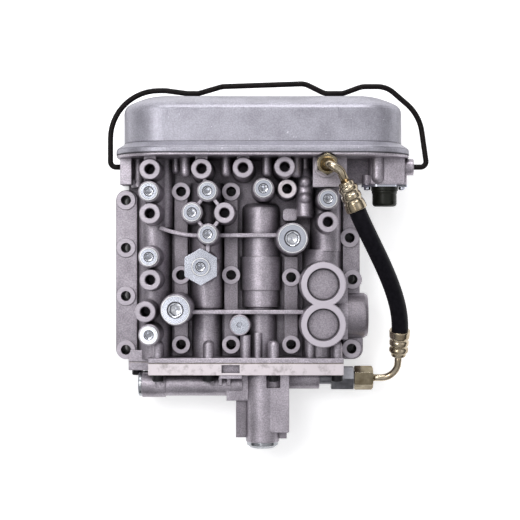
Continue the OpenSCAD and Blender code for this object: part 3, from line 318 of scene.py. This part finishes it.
def finish(name, dark, light, worn_and_lit, metallic, rough, rough_spread=0.12, shine=0.5,
           fine=2600.0, broad=160.0, bump=0.15, depth=0.0002, radius=0.0008, patchy=0.8,
           grime_and_shade=0.0, dirt_and_shade_colour=(0.05, 0.045, 0.05, 1), full_tone_above=0.060, darkest_below=0.034,
           hollow_shade=0.0, reach=0.012, speckle=0.0):
    """A clouded finish whose edges are worn and carry a painted highlight. dark and light are the two tones
    that the cloud runs between.
    """
    material = bpy.data.materials.new(name)
    material.use_nodes = True
    tree = material.node_tree
    shader = tree.nodes["Principled BSDF"]
    skin = use(tree, pebble, Fine=fine, Broad=broad)
    edge = use(tree, edges, Radius=radius, Patchy=patchy)
    edge.name = "edges"
    tone = mix(tree, ramp(tree, skin.outputs["Cloud"], 0.3, 0.7), dark, light)
    if grime_and_shade:
        # Darker low down: grime together with painted shade.
        low = use(tree, grime_and_low_shade, Clean_above=full_tone_above, Dirty_below=darkest_below).outputs["Mask"]
        tone = mix(tree, times(tree, low, grime_and_shade), tone, dirt_and_shade_colour)
    if speckle:
        spot = ramp(tree, noise(tree, here(tree), fine * 0.6, 2.0, 0.7), 0.40, 0.62, reverse=True)
        tone = mix(tree, times(tree, spot, speckle), tone, dirt_and_shade_colour)
    # Edges brightened: real wear together with a painted edge highlight.
    tone = mix(tree, edge.outputs["Wear and highlight"], tone, worn_and_lit)
    if hollow_shade:
        # Painted shade in hollows: ambient occlusion darkens the colour where little open sky is in reach.
        sky = add(tree, "ShaderNodeAmbientOcclusion", {"Distance": reach}, samples=8, only_local=True)
        deep = math_node(tree, "SUBTRACT", OPEN_SKY, sky.outputs["AO"])
        tone = mix(tree, times(tree, deep, hollow_shade, clamp=True), tone, dirt_and_shade_colour)
    spread = add(tree, "ShaderNodeMapRange", {
        "Value": skin.outputs["Cloud"], "From Min": 0.25, "From Max": 0.75,
        "To Min": rough - rough_spread, "To Max": rough + rough_spread}).outputs["Result"]
    relief = add(tree, "ShaderNodeBump", {"Strength": bump, "Distance": depth,
                 "Height": skin.outputs["Height"], "Normal": edge.outputs["Normal"]})
    relief.name = "relief"
    for label, value in (("Base Color", tone), ("Metallic", metallic), ("Specular IOR Level", shine),
                         ("Roughness", spread), ("Normal", relief.outputs[0])):
        fill(tree, shader.inputs[label], value)
    return material


print("builder ready")

# %% Plated and bare metals
zinc = finish(
    "bright_zinc", (0.62, 0.64, 0.715, 1), (0.70, 0.72, 0.80, 1), (0.90, 0.91, 0.95, 1), 1.0, 0.22,
    rough_spread=0.03, broad=60, bump=0.02, radius=0.0004, patchy=0.0, hollow_shade=0.8, reach=0.003)
polished = finish(
    "polished_cap", (0.30, 0.31, 0.33, 1), (0.52, 0.53, 0.56, 1), (0.85, 0.86, 0.88, 1), 1.0, 0.22,
    rough_spread=0.05, broad=150, bump=0.04, radius=0.0008)
chromate = finish(
    "yellow_chromate", (0.18, 0.142, 0.085, 1), (0.43, 0.37, 0.26, 1), (0.80, 0.74, 0.60, 1), 1.0, 0.18,
    rough_spread=0.04, broad=70, bump=0.03, radius=0.0004, patchy=0.0,
    dirt_and_shade_colour=(0.04, 0.026, 0.012, 1), hollow_shade=0.9, reach=0.004)
pale_chromate = finish(
    "pale_chromate", (0.34, 0.27, 0.175, 1), (0.66, 0.58, 0.45, 1), (0.85, 0.80, 0.70, 1), 1.0, 0.20,
    rough_spread=0.04, broad=60, bump=0.02, radius=0.0003, patchy=0.0,
    dirt_and_shade_colour=(0.05, 0.034, 0.018, 1), hollow_shade=0.9, reach=0.004)
ground_steel = finish(
    "ground_steel", (0.45, 0.45, 0.47, 1), (0.62, 0.62, 0.64, 1), (0.8, 0.8, 0.8, 1), 1.0, 0.3, bump=0.05)
plain_steel = finish(
    "plain_steel", (0.15, 0.15, 0.165, 1), (0.25, 0.25, 0.27, 1), (0.55, 0.55, 0.57, 1), 0.85, 0.40,
    broad=120, bump=0.06, radius=0.0006)
drawn_sheet = finish(
    "drawn_sheet", (0.375, 0.365, 0.42, 1), (0.475, 0.465, 0.53, 1), (0.70, 0.69, 0.75, 1), 0.48, 0.42,
    rough_spread=0.08, fine=1300, broad=55, bump=0.16, radius=0.0008, speckle=0.24)
plate_metal = finish(
    "plate_aluminium", (0.36, 0.35, 0.37, 1), (0.48, 0.47, 0.49, 1), (0.7, 0.7, 0.7, 1), 0.7, 0.45)
print("finishes so far:", len(bpy.data.materials))

# %% Black metal, rubber, plastic and paper
black_oxide = finish(
    "black_oxide", (0.006, 0.006, 0.007, 1), (0.016, 0.015, 0.018, 1), (0.10, 0.095, 0.10, 1), 0.0, 0.38,
    shine=0.2, bump=0.10, radius=0.0005)
bail_black = finish(
    "satin_black_wire", (0.006, 0.005, 0.005, 1), (0.014, 0.011, 0.011, 1), (0.06, 0.05, 0.05, 1), 0.0, 0.34,
    shine=0.08, broad=240, bump=0.2, radius=0.0004)
gasket_paper = finish(
    "gasket_paper", (0.20, 0.17, 0.13, 1), (0.30, 0.26, 0.21, 1), (0.35, 0.30, 0.25, 1), 0.0, 0.85,
    bump=0.3, radius=0.0001)
seal_rubber = finish(
    "seal_rubber", (0.008, 0.008, 0.009, 1), (0.02, 0.02, 0.022, 1), (0.04, 0.04, 0.04, 1), 0.0, 0.6)
moulded = finish(
    "moulded_plastic", (0.006, 0.007, 0.004, 1), (0.014, 0.015, 0.010, 1), (0.05, 0.05, 0.045, 1), 0.0, 0.34,
    shine=0.25, fine=3200, bump=0.12, radius=0.0008)
hose_rubber = finish(
    "hose_rubber", (0.004, 0.0035, 0.006, 1), (0.009, 0.008, 0.012, 1), (0.022, 0.021, 0.026, 1), 0.0, 0.5,
    shine=0.1, fine=1500, broad=300, bump=0.35, depth=0.0003, radius=0.0004)
print("finishes so far:", len(bpy.data.materials))

# %% [markdown]
# ## The casting
# Sand-cast aluminium has a grain that scatters light, while the milled faces on top of the bosses, rings
# and flanges are smooth. Those faces all look straight up and lie at known heights, so one mask finds
# them: the face's normal points up, and the height is one of the milled levels. Low faces that look up get
# painted shade in patches in the same way, as if the bosses shaded them, and so do the floors of the two
# round pockets, with a darker ring of painted shade at their feet. The round boss at the right gets painted
# shade too, and a box of coordinates finds it.

# %% Cast aluminium
SAME_LEVEL = 0.00012
FLANGE_TOP, TWIN_TOP, LAND_TOP, POCKET_FLOOR = 0.062, 0.072, 0.042, 0.064
MILLED = (0.080, 0.078, 0.077, TWIN_TOP, FLANGE_TOP, 0.058, 0.0435, 0.0395)
CAST_BUMP, CAST_EDGE = 0.42, 0.0014


def opened(material):
    """The tree of a finish, its shader and the tone that it has so far."""
    shader = material.node_tree.nodes["Principled BSDF"]
    return material.node_tree, shader, shader.inputs["Base Color"].links[0].from_socket


cast = finish(
    "cast_aluminium", (0.50, 0.456, 0.51, 1), (0.66, 0.605, 0.672, 1), (0.84, 0.78, 0.85, 1), 0.75, 0.40,
    rough_spread=0.05, fine=1500, broad=60, bump=CAST_BUMP, depth=0.0004, radius=CAST_EDGE,
    grime_and_shade=0.85, dirt_and_shade_colour=(0.030, 0.025, 0.031, 1), full_tone_above=0.056, darkest_below=0.020,
    hollow_shade=1.15, reach=0.016, speckle=0.34)
tree, shader, tone = opened(cast)
place = here(tree)
across, along, level = add(tree, "ShaderNodeSeparateXYZ", {0: place}).outputs
normal = add(tree, "ShaderNodeNewGeometry").outputs["Normal"]
facing = add(tree, "ShaderNodeSeparateXYZ", {0: normal}).outputs[2]
print("finish:", cast.name)

# %% Its milled faces
milled = 0.0
for z in MILLED:
    milled = math_node(tree, "MAXIMUM", at_level(tree, level, z, SAME_LEVEL), milled)
milled = times(tree, milled, math_node(tree, "GREATER_THAN", facing, 0.98))
sweep = noise(tree, stretched(tree, place, (0.06, 1.0, 1.0)), 1300.0, 2.0)
bright = mix(tree, ramp(tree, sweep, 0.3, 0.7), (0.47, 0.432, 0.478, 1), (0.55, 0.507, 0.56, 1))
bright = mix(tree, at_level(tree, level, TWIN_TOP, SAME_LEVEL), bright, (0.62, 0.572, 0.63, 1))
stain = ramp(tree, noise(tree, place, 110.0, 5.0, 0.65), 0.48, 0.72)
stained = mix(tree, stain, (0.82, 0.755, 0.785, 1), (0.50, 0.45, 0.46, 1))
bright = mix(tree, at_level(tree, level, FLANGE_TOP, SAME_LEVEL), bright, stained)
print("milled levels:", len(MILLED))

# %% Its painted shade
TWIN_AT = ((0.0737, -0.0125, 0), (0.0737, -0.0479, 0))
POCKET_R, POCKET_FOOT = 0.014, 0.0022
SIDE_BOSS_X, SIDE_BOSS_Z = 0.0965, LAND_TOP + 0.003
# Painted shade on the land tops and, more faintly, the pocket floors, in patches, as if the bosses shaded
# them.
pocket = at_level(tree, level, POCKET_FLOOR, 0.0002)
low_face = math_node(tree, "MAXIMUM", at_level(tree, level, LAND_TOP, 0.0008), times(tree, pocket, 0.6))
patches = add(tree, "ShaderNodeMapRange", {
    "Value": noise(tree, place, 60.0, 4.0, 0.6), "From Min": 0.3, "From Max": 0.7,
    "To Min": 0.22, "To Max": 0.62}).outputs["Result"]
land_shade = times(tree, low_face, math_node(tree, "GREATER_THAN", facing, 0.9), patches)
tone = mix(tree, land_shade, tone, (0.10, 0.088, 0.098, 1))
# Painted shade on the round boss at the right, found by a box of coordinates.
side_boss_shade = times(tree, math_node(tree, "GREATER_THAN", across, SIDE_BOSS_X),
             math_node(tree, "LESS_THAN", along, 0.0),
             math_node(tree, "GREATER_THAN", level, SIDE_BOSS_Z), 0.5)
tone = mix(tree, side_boss_shade, tone, (0.14, 0.125, 0.138, 1))
# Painted shade: a dark ring at the foot of each round pocket's wall.
flat_place = stretched(tree, place, (1, 1, 0))
to_axis = [add(tree, "ShaderNodeVectorMath", {0: flat_place, 1: at}, operation="DISTANCE").outputs["Value"]
           for at in TWIN_AT]
near = math_node(tree, "MINIMUM", *to_axis)
pocket_foot_shade = times(tree, pocket, ramp(tree, near, POCKET_R - POCKET_FOOT, POCKET_R))
tone = mix(tree, pocket_foot_shade, tone, (0.03, 0.026, 0.03, 1))
print("shaded pockets:", len(TWIN_AT))

# %% Join the casting's masks
tree.links.new(mix(tree, milled, tone, bright), shader.inputs["Base Color"])
grey = shader.inputs["Roughness"].links[0].from_socket
tree.links.new(math_node(tree, "ADD", grey, times(tree, milled, 0.12)), shader.inputs["Roughness"])
sharper = math_node(tree, "SUBTRACT", CAST_EDGE, times(tree, milled, 0.0010))
tree.links.new(sharper, tree.nodes["edges"].inputs["Radius"])
smoother = math_node(tree, "SUBTRACT", CAST_BUMP, times(tree, milled, 0.34))
tree.links.new(smoother, tree.nodes["relief"].inputs["Strength"])
print("nodes in the casting:", len(tree.nodes))

# %% [markdown]
# ## The cover
# The cover is drawn from sheet and has been handled: short scuffs run up its wall, and small bright specks
# are painted glints. The three bends of its rim get painted shade, as dark lines. The scuffs are a noise that
# is stretched along Y and shown in patches. The bends are lines of constant Y, so a distance to each gives
# its mask.

# %% Scuffs, painted shade and painted glints on the cover
RIM_Y = 0.102
COVER_BEND_SHADOWS = ((RIM_Y + 0.0100, 0.0010, 0.75), (RIM_Y + 0.0046, 0.0008, 0.55), (RIM_Y, 0.0014, 0.9))
tree, shader, tone = opened(drawn_sheet)
place = here(tree)
streak = noise(tree, stretched(tree, place, (1.0, 0.07, 0.4)), 900.0, 2.0)
where = ramp(tree, noise(tree, place, 45.0, 2.0), 0.50, 0.66)
scuff = times(tree, ramp(tree, streak, 0.60, 0.68), where, 0.55)
tone = mix(tree, scuff, tone, (0.17, 0.165, 0.19, 1))
along = add(tree, "ShaderNodeSeparateXYZ", {0: place}).outputs[1]
# Painted shade: dark lines along the three bends of the rim.
for y, half, share in COVER_BEND_SHADOWS:
    off = math_node(tree, "ABSOLUTE", math_node(tree, "SUBTRACT", along, y))
    line = times(tree, ramp(tree, off, 0.0, half, reverse=True), share)
    tone = mix(tree, line, tone, (0.07, 0.066, 0.08, 1))
# Painted glints: small bright specks on the sheet.
pit_glint = ramp(tree, noise(tree, place, 430.0, 1.0), 0.76, 0.80)
tree.links.new(mix(tree, pit_glint, tone, (0.80, 0.79, 0.85, 1)), shader.inputs["Base Color"])
print("scuffed:", drawn_sheet.name)

# %% [markdown]
# ## Dressing the solids
# Every solid gets one finish, also those inside the casting and those that a finer piece stands for
# below, because the solids are kept beside the scene.

# %% Dress the solids
def dress(material, *names):
    """Gives every named solid one material."""
    for name in names:
        mesh = nodes[name].data
        mesh.materials.clear()
        mesh.materials.append(material)


coils = [n for n in nodes if n.startswith("solenoid_coil")]
inner_steel = [n for n in nodes if n.startswith(("spool", "solenoid_valve"))]
dress(cast, "valve_body", "lower_housing")
dress(plate_metal, "channel_plate")
dress(gasket_paper, "channel_gasket", "body_gasket", "housing_gasket")
dress(polished, "regulator_cap", "modulator_cap")
dress(zinc, "port_plugs", "large_plugs", "hex_adapter", "flush_plug", "connector_flange", "connector_screws")
dress(plain_steel, "lower_adapter")
dress(seal_rubber, "port_plug_seals", "large_plug_seals", "hex_adapter_seal", "cover_seal")
dress(black_oxide, "plate_screws", "housing_screws")
dress(drawn_sheet, "solenoid_cover")
dress(bail_black, "bail_wire")
dress(moulded, "wiring_loom", "connector_socket", "connector_cap", *coils)
dress(chromate, "upper_adapter", "upper_nut", "lower_nut")
dress(pale_chromate, "upper_pipe", "upper_ferrule", "lower_ferrule", "lower_pipe")
dress(hose_rubber, "hose")
dress(ground_steel, "separator_plate", *inner_steel, "regulator_spool", "regulator_spring",
      "modulator_piston", "modulator_spring")
print("dressed:", len(nodes))

# %% [markdown]
# ## Round bars
# The bail, the hose, its pipes and ferrules and the springs are round bars. In the solids each has few
# sides, which shows in the light. A bar is a circle carried along a line: with the line's directions and
# one steady reference direction, two cross products give the circle's own axes at every point, and an
# outer product gives the whole grid at once. The radius may change along the line.

# %% A line with rounded corners
MM = 1000


def rounded_line(points, radii, steps):
    """An open line whose inner corners are arcs: the arc's centre lies on the corner's bisector."""
    points = np.asarray(points, float)
    out = [points[:1]]
    for a, b, c, r in zip(points[:-2], points[1:-1], points[2:], radii):
        u, w = (a - b) / np.linalg.norm(a - b), (c - b) / np.linalg.norm(c - b)
        half = math.acos(np.clip(u @ w, -1, 1)) / 2
        start = b + u * r / math.tan(half)
        centre = b + (u + w) / np.linalg.norm(u + w) * r / math.sin(half)
        turn = np.linspace(0, math.pi - 2 * half, steps)[:, None]
        out.append(centre + np.cos(turn) * (start - centre) - np.sin(turn) * u * r)
    out.append(points[-1:])
    return np.concatenate(out)


def length_of(line):
    """The sum of the steps along a line."""
    return float(np.linalg.norm(np.diff(line, axis=0), axis=1).sum())


print("lines are given in mm and divided by", MM)

# %% A round bar along a line
def round_bar(name, line, radius, reference, sides=40):
    """A closed bar: point (i, j) is line[i] + radius * (cos t_j * normal_i + sin t_j * side_i), with t_j
    round the circle."""
    way = np.gradient(line, axis=0)
    way /= np.linalg.norm(way, axis=1)[:, None]
    normal = np.cross(way, reference)
    normal /= np.linalg.norm(normal, axis=1)[:, None]
    side = np.cross(way, normal)
    t = np.arange(sides) * 2 * math.pi / sides
    ring = np.cos(t)[None, :, None] * normal[:, None] + np.sin(t)[None, :, None] * side[:, None]
    grid = line[:, None] + np.asarray(radius).reshape(-1, 1, 1) * ring
    i, j = np.meshgrid(np.arange(len(line) - 1), np.arange(sides), indexing="ij")
    k = (j + 1) % sides
    here_row, next_row = i * sides, (i + 1) * sides
    quads = np.stack([here_row + j, here_row + k, next_row + k, next_row + j], -1).reshape(-1, 4)
    caps = [list(range(sides))[::-1], list(range((len(line) - 1) * sides, len(line) * sides))]
    mesh = bpy.data.meshes.new(name)
    mesh.from_pydata(grid.reshape(-1, 3).tolist(), [], quads.tolist() + caps)
    mesh.polygons.foreach_set("use_smooth", np.r_[np.ones(len(quads), bool), False, False])
    mesh.update()
    piece = bpy.data.objects.new(name, mesh)
    bpy.context.scene.collection.objects.link(piece)
    print(name, "points:", len(line), "length:", round(length_of(line), 4))
    return piece


def stand_in(piece, material, node, body="body"):
    """The piece wears a finish, rides on a body and stands for a solid."""
    piece.data.materials.append(material)
    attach(piece, body)
    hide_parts(node)


print("bars and stand-ins ready")

# %% [markdown]
# ## Screw plugs
# Eleven turned plugs close the drilled galleries. What makes them look like metal is small: a chamfer
# round the head that carries a painted highlight, a countersink, and a hexagon socket with a drilled tip. A
# plug is a stack of rings, so one table of radius and height gives them all, and a ring of the socket is a
# hexagon instead of a circle. The table's last column marks a painted highlight above 0, on the chamfer, the
# countersink edge and the drilled tip, and painted shade below 0, on the outline, the side wall, the groove,
# the line round the face and the socket walls, and the finish reads both marks as attributes.

# %% Zinc with painted highlights and painted shade
turned_zinc = finish(
    "turned_zinc", (0.63, 0.655, 0.74, 1), (0.71, 0.735, 0.82, 1), (0.8, 0.8, 0.84, 1), 1.0, 0.20,
    rough_spread=0.03, broad=60, bump=0.02, radius=0.0001, patchy=0.0)
tree, shader, tone = opened(turned_zinc)
painted_glint = add(tree, "ShaderNodeAttribute", attribute_name="painted_glint").outputs["Fac"]
painted_shade = add(tree, "ShaderNodeAttribute", attribute_name="painted_shade").outputs["Fac"]
# Painted highlight on chamfers, countersink edges and drilled tips; painted shade on outlines, grooves, side
# walls and socket walls.
tone = mix(tree, painted_glint, tone, (0.97, 0.975, 0.99, 1))
tree.links.new(mix(tree, painted_shade, tone, (0.045, 0.042, 0.05, 1)), shader.inputs["Base Color"])
matter = math_node(tree, "SUBTRACT", 1.0, times(tree, painted_glint, 0.6))
tree.links.new(matter, shader.inputs["Metallic"])
print("finish:", turned_zinc.name)

# %% Stacks of rings
SPIN_STEP = 0.9
SHARP_FROM = math.radians(12)


def turned(name, rows, places, sides=48):
    """Copies of a stack of rings: point (p, k, j) is places[p] + (r cos t, r sin t, z) with r and z of row k
    and t round the ring, and in a hexagon row r is divided by the cosine of the angle to the nearest flat."""
    r, z, hexagon, mark = np.asarray(rows, float).T
    places = np.asarray(places, float)
    t = np.arange(sides) * 2 * math.pi / sides
    flat = 1 / np.cos((t + math.pi / 6) % (math.pi / 3) - math.pi / 6)
    reach = r[:, None] * np.where(hexagon[:, None] > 0, flat, 1)
    spin = t + SPIN_STEP * np.arange(len(places))[:, None]
    grid = np.empty((len(places), len(r), sides, 3))
    grid[..., 0] = places[:, None, None, 0] + reach * np.cos(spin)[:, None]
    grid[..., 1] = places[:, None, None, 1] + reach * np.sin(spin)[:, None]
    grid[..., 2] = places[:, None, None, 2] + z[:, None]
    p, k, j = np.meshgrid(np.arange(len(places)), np.arange(len(r) - 1), np.arange(sides), indexing="ij")
    at = (p * len(r) + k) * sides
    ahead = (j + 1) % sides
    quads = np.stack([at + j, at + ahead, at + sides + ahead, at + sides + j], -1).reshape(-1, 4)
    ends = np.arange(len(places))[:, None] * len(r) * sides + np.arange(sides)
    caps = ends[:, ::-1].tolist() + (ends + (len(r) - 1) * sides).tolist()
    mesh = bpy.data.meshes.new(name)
    mesh.from_pydata((grid / MM).reshape(-1, 3).tolist(), [], quads.tolist() + caps)
    mesh.polygons.foreach_set("use_smooth", np.ones(len(mesh.polygons), bool))
    mesh.update()
    mesh.set_sharp_from_angle(angle=SHARP_FROM)
    # The marks become attributes: a painted highlight where above 0, painted shade where below 0.
    for label, share in (("painted_glint", mark), ("painted_shade", -mark)):
        mesh.attributes.new(label, "FLOAT", "POINT").data.foreach_set(
            "value", np.tile(np.repeat(share.clip(0, 1), sides), len(places)).astype(np.float32))
    piece = bpy.data.objects.new(name, mesh)
    bpy.context.scene.collection.objects.link(piece)
    print(name, "copies:", len(places), "faces:", len(mesh.polygons))
    return piece


print("rings ready, sharp from", round(math.degrees(SHARP_FROM)), "degrees")

# %% Turn the plugs
SEAT = BOSS_TOP * MM
LARGE_SEAT = SEAT - 2
ADAPTER_TOP = SEAT + 7
SMALL_AT = [(-78.6, 68.6, SEAT), (-78.6, 11.6, SEAT), (-78.6, -56.3, SEAT), (21, 71.2, SEAT),
            (77.2, 62.1, SEAT), (-27.7, 69, SEAT), (-41.2, 50.3, SEAT), (-27.4, 31.4, SEAT),
            (-33.3, 3, ADAPTER_TOP)]
LARGE_AT = [(46.3, 27.7, LARGE_SEAT), (-55.5, -34.5, LARGE_SEAT)]


def plug_rows(head, high, shank, deep, socket):
    """Rows of (radius, height, hexagon or not, mark) of a plug whose seat is at height 0: shank, collar,
    groove, outline in painted shade, chamfer with a painted highlight, line round the face, countersink,
    hexagon and drilled tip. A mark above 0 is a painted highlight, below 0 painted shade."""
    half = socket / 2
    bottom = high - 0.9 * socket
    return [(shank - 0.8, -deep, 0, 0), (shank, 0.8 - deep, 0, 0), (shank, 0, 0, 0),
            (head, 0, 0, -0.8), (head, 0.7, 0, -0.5),
            (head - 0.5, 0.9, 0, -1), (head - 0.5, 1.3, 0, -1), (head, 1.5, 0, -0.6),
            (head, high - 0.7, 0, -0.8), (head - 0.15, high - 0.55, 0, -0.6),
            (head - 0.25, high - 0.45, 0, 1), (head - 0.6, high, 0, 1), (head - 1.15, high, 0, 1),
            (head - 1.2, high, 0, -0.4), (head - 1.5, high, 0, -0.4), (head - 1.55, high, 0, 0),
            (socket * 0.76, high, 0, 0), (socket * 0.73, high, 0, -0.9),
            (socket * 0.67, high - 0.1, 0, -0.9), (half * 1.18, high - 0.6, 0, 0.7),
            (half, high - 0.7, 1, 0), (half, high - 0.5 * socket, 1, -0.5), (half, bottom, 1, -0.9),
            (half * 0.8, bottom - 0.1, 0, 0.6), (0.05, bottom - 1.4, 0, 0.9)]


for name, rows, places, node in (
        ("port_plugs_turned", plug_rows(8.2, 3.5, 5.9, 12, 6), SMALL_AT, "port_plugs"),
        ("large_plugs_turned", plug_rows(12.9, 4.5, 10, 12, 10), LARGE_AT, "large_plugs")):
    stand_in(turned(name, rows, places), turned_zinc, node)

# %% [markdown]
# ## The bail
# A wire clip pivots in the casting on both sides and snaps over the crown of the cover. Its line has two
# dips that touch the crown, with raised hand grips between them. The clip lies flat, so its line is drawn
# in the plane and then lifted to one height.

# %% Bend the bail
BAIL_R = 0.0024
PIVOT_Y, BAIL_Z, DIP_Y = 92.0, 50.0, 157.7
bail_line = [(-98, PIVOT_Y), (-115.6, PIVOT_Y), (-115.6, DIP_Y + 2.6), (-66, DIP_Y + 2.6),
             (-47, DIP_Y), (-37, DIP_Y), (-16, DIP_Y + 6.2), (58, DIP_Y + 8.8), (76, DIP_Y), (92, DIP_Y),
             (109, DIP_Y + 6.2), (131, DIP_Y + 6.3), (160.5, DIP_Y - 19.2), (167.1, PIVOT_Y),
             (146.2, PIVOT_Y)]
bail_radii = [5, 43, 12, 9, 9, 20, 16, 12, 12, 16, 22, 40, 5]
flat_line = rounded_line(bail_line, bail_radii, 14)
bail_path = np.column_stack([flat_line, np.full(len(flat_line), BAIL_Z)]) / MM
bail_piece = round_bar("bail_round", bail_path, BAIL_R, (0, 0, 1.0), 28)
stand_in(bail_piece, bail_black, "bail_wire", body="bail")

# %% [markdown]
# ## The hose and its pipes
# The hose leaves both ferrules straight and bends in one long curve between them, a cubic curve whose two
# handles lie along the ferrules. It is clamped at both ends. Each pipe is a rounded line, and a ferrule is a
# straight bar whose radius swells and narrows where it was crimped.

# %% Lay the hose
HOSE_R = 0.0075
FERRULE_LONG, GRIP, HANDLE = 25, 10, 36


def unit(v):
    """The direction of a vector."""
    return v / np.linalg.norm(v)


upper_start, upper_end = np.array([91, 75.8, 98.5]), np.array([101.2, 52, 95])
upper_way = unit(upper_end - upper_start)
lower_corner, lower_start = np.array([142.6, -98, 30]), np.array([143, -77.6, 37])
lower_way = unit(lower_start - lower_corner)
lower_end = lower_start + FERRULE_LONG * lower_way
t = np.linspace(0, 1, 90)[:, None]
curve = ((1 - t) ** 3 * lower_end + 3 * (1 - t) ** 2 * t * (lower_end + HANDLE * lower_way)
         + 3 * (1 - t) * t ** 2 * (upper_end + HANDLE * upper_way) + t ** 3 * upper_end)
hose_path = np.concatenate([[lower_end - GRIP * lower_way], curve, [upper_end - GRIP * upper_way]]) / MM
hose_piece = round_bar("hose_round", hose_path, HOSE_R, (1.0, 0, 0), 48)
stand_in(hose_piece, hose_rubber, "hose")

# %% Bend the two pipes
UPPER_PIPE_R, LOWER_PIPE_R = 0.0038, 0.0032
INTO_FERRULE = 2
upper_bend = upper_start - 11 * upper_way
upper_line = rounded_line([(75.8, 91.5, 90.1), (75.8, 91.5, upper_bend[2]), upper_bend,
                           upper_start + INTO_FERRULE * upper_way], [7, 7], 16)
lower_line = rounded_line([(112.1, -98, 30), lower_corner, lower_start + INTO_FERRULE * lower_way], [15], 24)
for name, line, radius, node, reference in (
        ("upper_pipe_round", upper_line, UPPER_PIPE_R, "upper_pipe", (0.36, 0.92, 0.12)),
        ("lower_pipe_round", lower_line, LOWER_PIPE_R, "lower_pipe", (0.05, 0.1, 1.0))):
    stand_in(round_bar(name, line / MM, radius, reference, 32), pale_chromate, node)

# %% Turn the two ferrules
FERRULE_AT = (0, 0.5, 3.4, 4.4, 5.2, 7.4, 8.4, 9.2, 10.2, 11.2, 12, 14.6, 15.6, 16.6, 17.8, 19, 24.2, 25)
FERRULE_R = (6.1, 6.7, 6.8, 8.4, 8.7, 8.7, 7.9, 7.7, 7.8, 8.6, 8.8, 8.8, 8.1, 8.0, 8.8, 9.1, 9.45, 9.2)
share = np.linspace(0, 1, 76)
crimped = np.interp(share * FERRULE_LONG, FERRULE_AT, FERRULE_R)
crimped[1:-1] = (crimped[:-2] + 2 * crimped[1:-1] + crimped[2:]) / 4
for name, start, end, node in (("upper_ferrule_round", upper_start, upper_end, "upper_ferrule"),
                               ("lower_ferrule_round", lower_start, lower_end, "lower_ferrule")):
    line = start + share[:, None] * (end - start)
    stand_in(round_bar(name, line / MM, crimped / MM, (1.0, 0, 0), 48), pale_chromate, node)

# %% [markdown]
# ## Springs
# Each spool and piston pushes a coil spring together as it slides. A wire wound with closed ends is a helix
# whose rise is slow in its first and last turn.

# %% Wind the springs
WIRE = 0.00098
TURNS, TURN_STEPS = 6, 32
X, Y, Z = 0, 1, 2
SPOOL_TRAVEL, PISTON_TRAVEL = 0.008, 0.006
turn = np.linspace(0, TURNS, TURNS * TURN_STEPS + 1)
for node, joint, axis, travel in (
        *[(f"spool_spring_{i}", f"spool_{i}_slide", Y, SPOOL_TRAVEL) for i in (1, 2, 3, 4)],
        ("regulator_spring", "regulator_slide", X, PISTON_TRAVEL),
        ("modulator_spring", "modulator_slide", Y, PISTON_TRAVEL)):
    low, high = (np.array(c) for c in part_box(node))
    middle = (low + high) / 2
    long = high[axis] - low[axis]
    coil = (high[Z] - low[Z]) / 2 - WIRE
    aside = 1 - axis
    wound = np.empty((len(turn), 3))
    wound[:, axis] = low[axis] + np.interp(turn, (0, 1, TURNS - 1, TURNS),
                                           (WIRE, 3 * WIRE, long - 3 * WIRE, long - WIRE))
    wound[:, aside] = middle[aside] + coil * np.cos(turn * 2 * math.pi)
    wound[:, Z] = middle[Z] + coil * np.sin(turn * 2 * math.pi)
    way = np.eye(3)[axis]
    piece = round_bar(node + "_wound", wound, WIRE, way, 16)
    stand_in(piece, ground_steel, node)
    fixed_end = middle.copy()
    fixed_end[axis] = low[axis]
    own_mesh(piece)
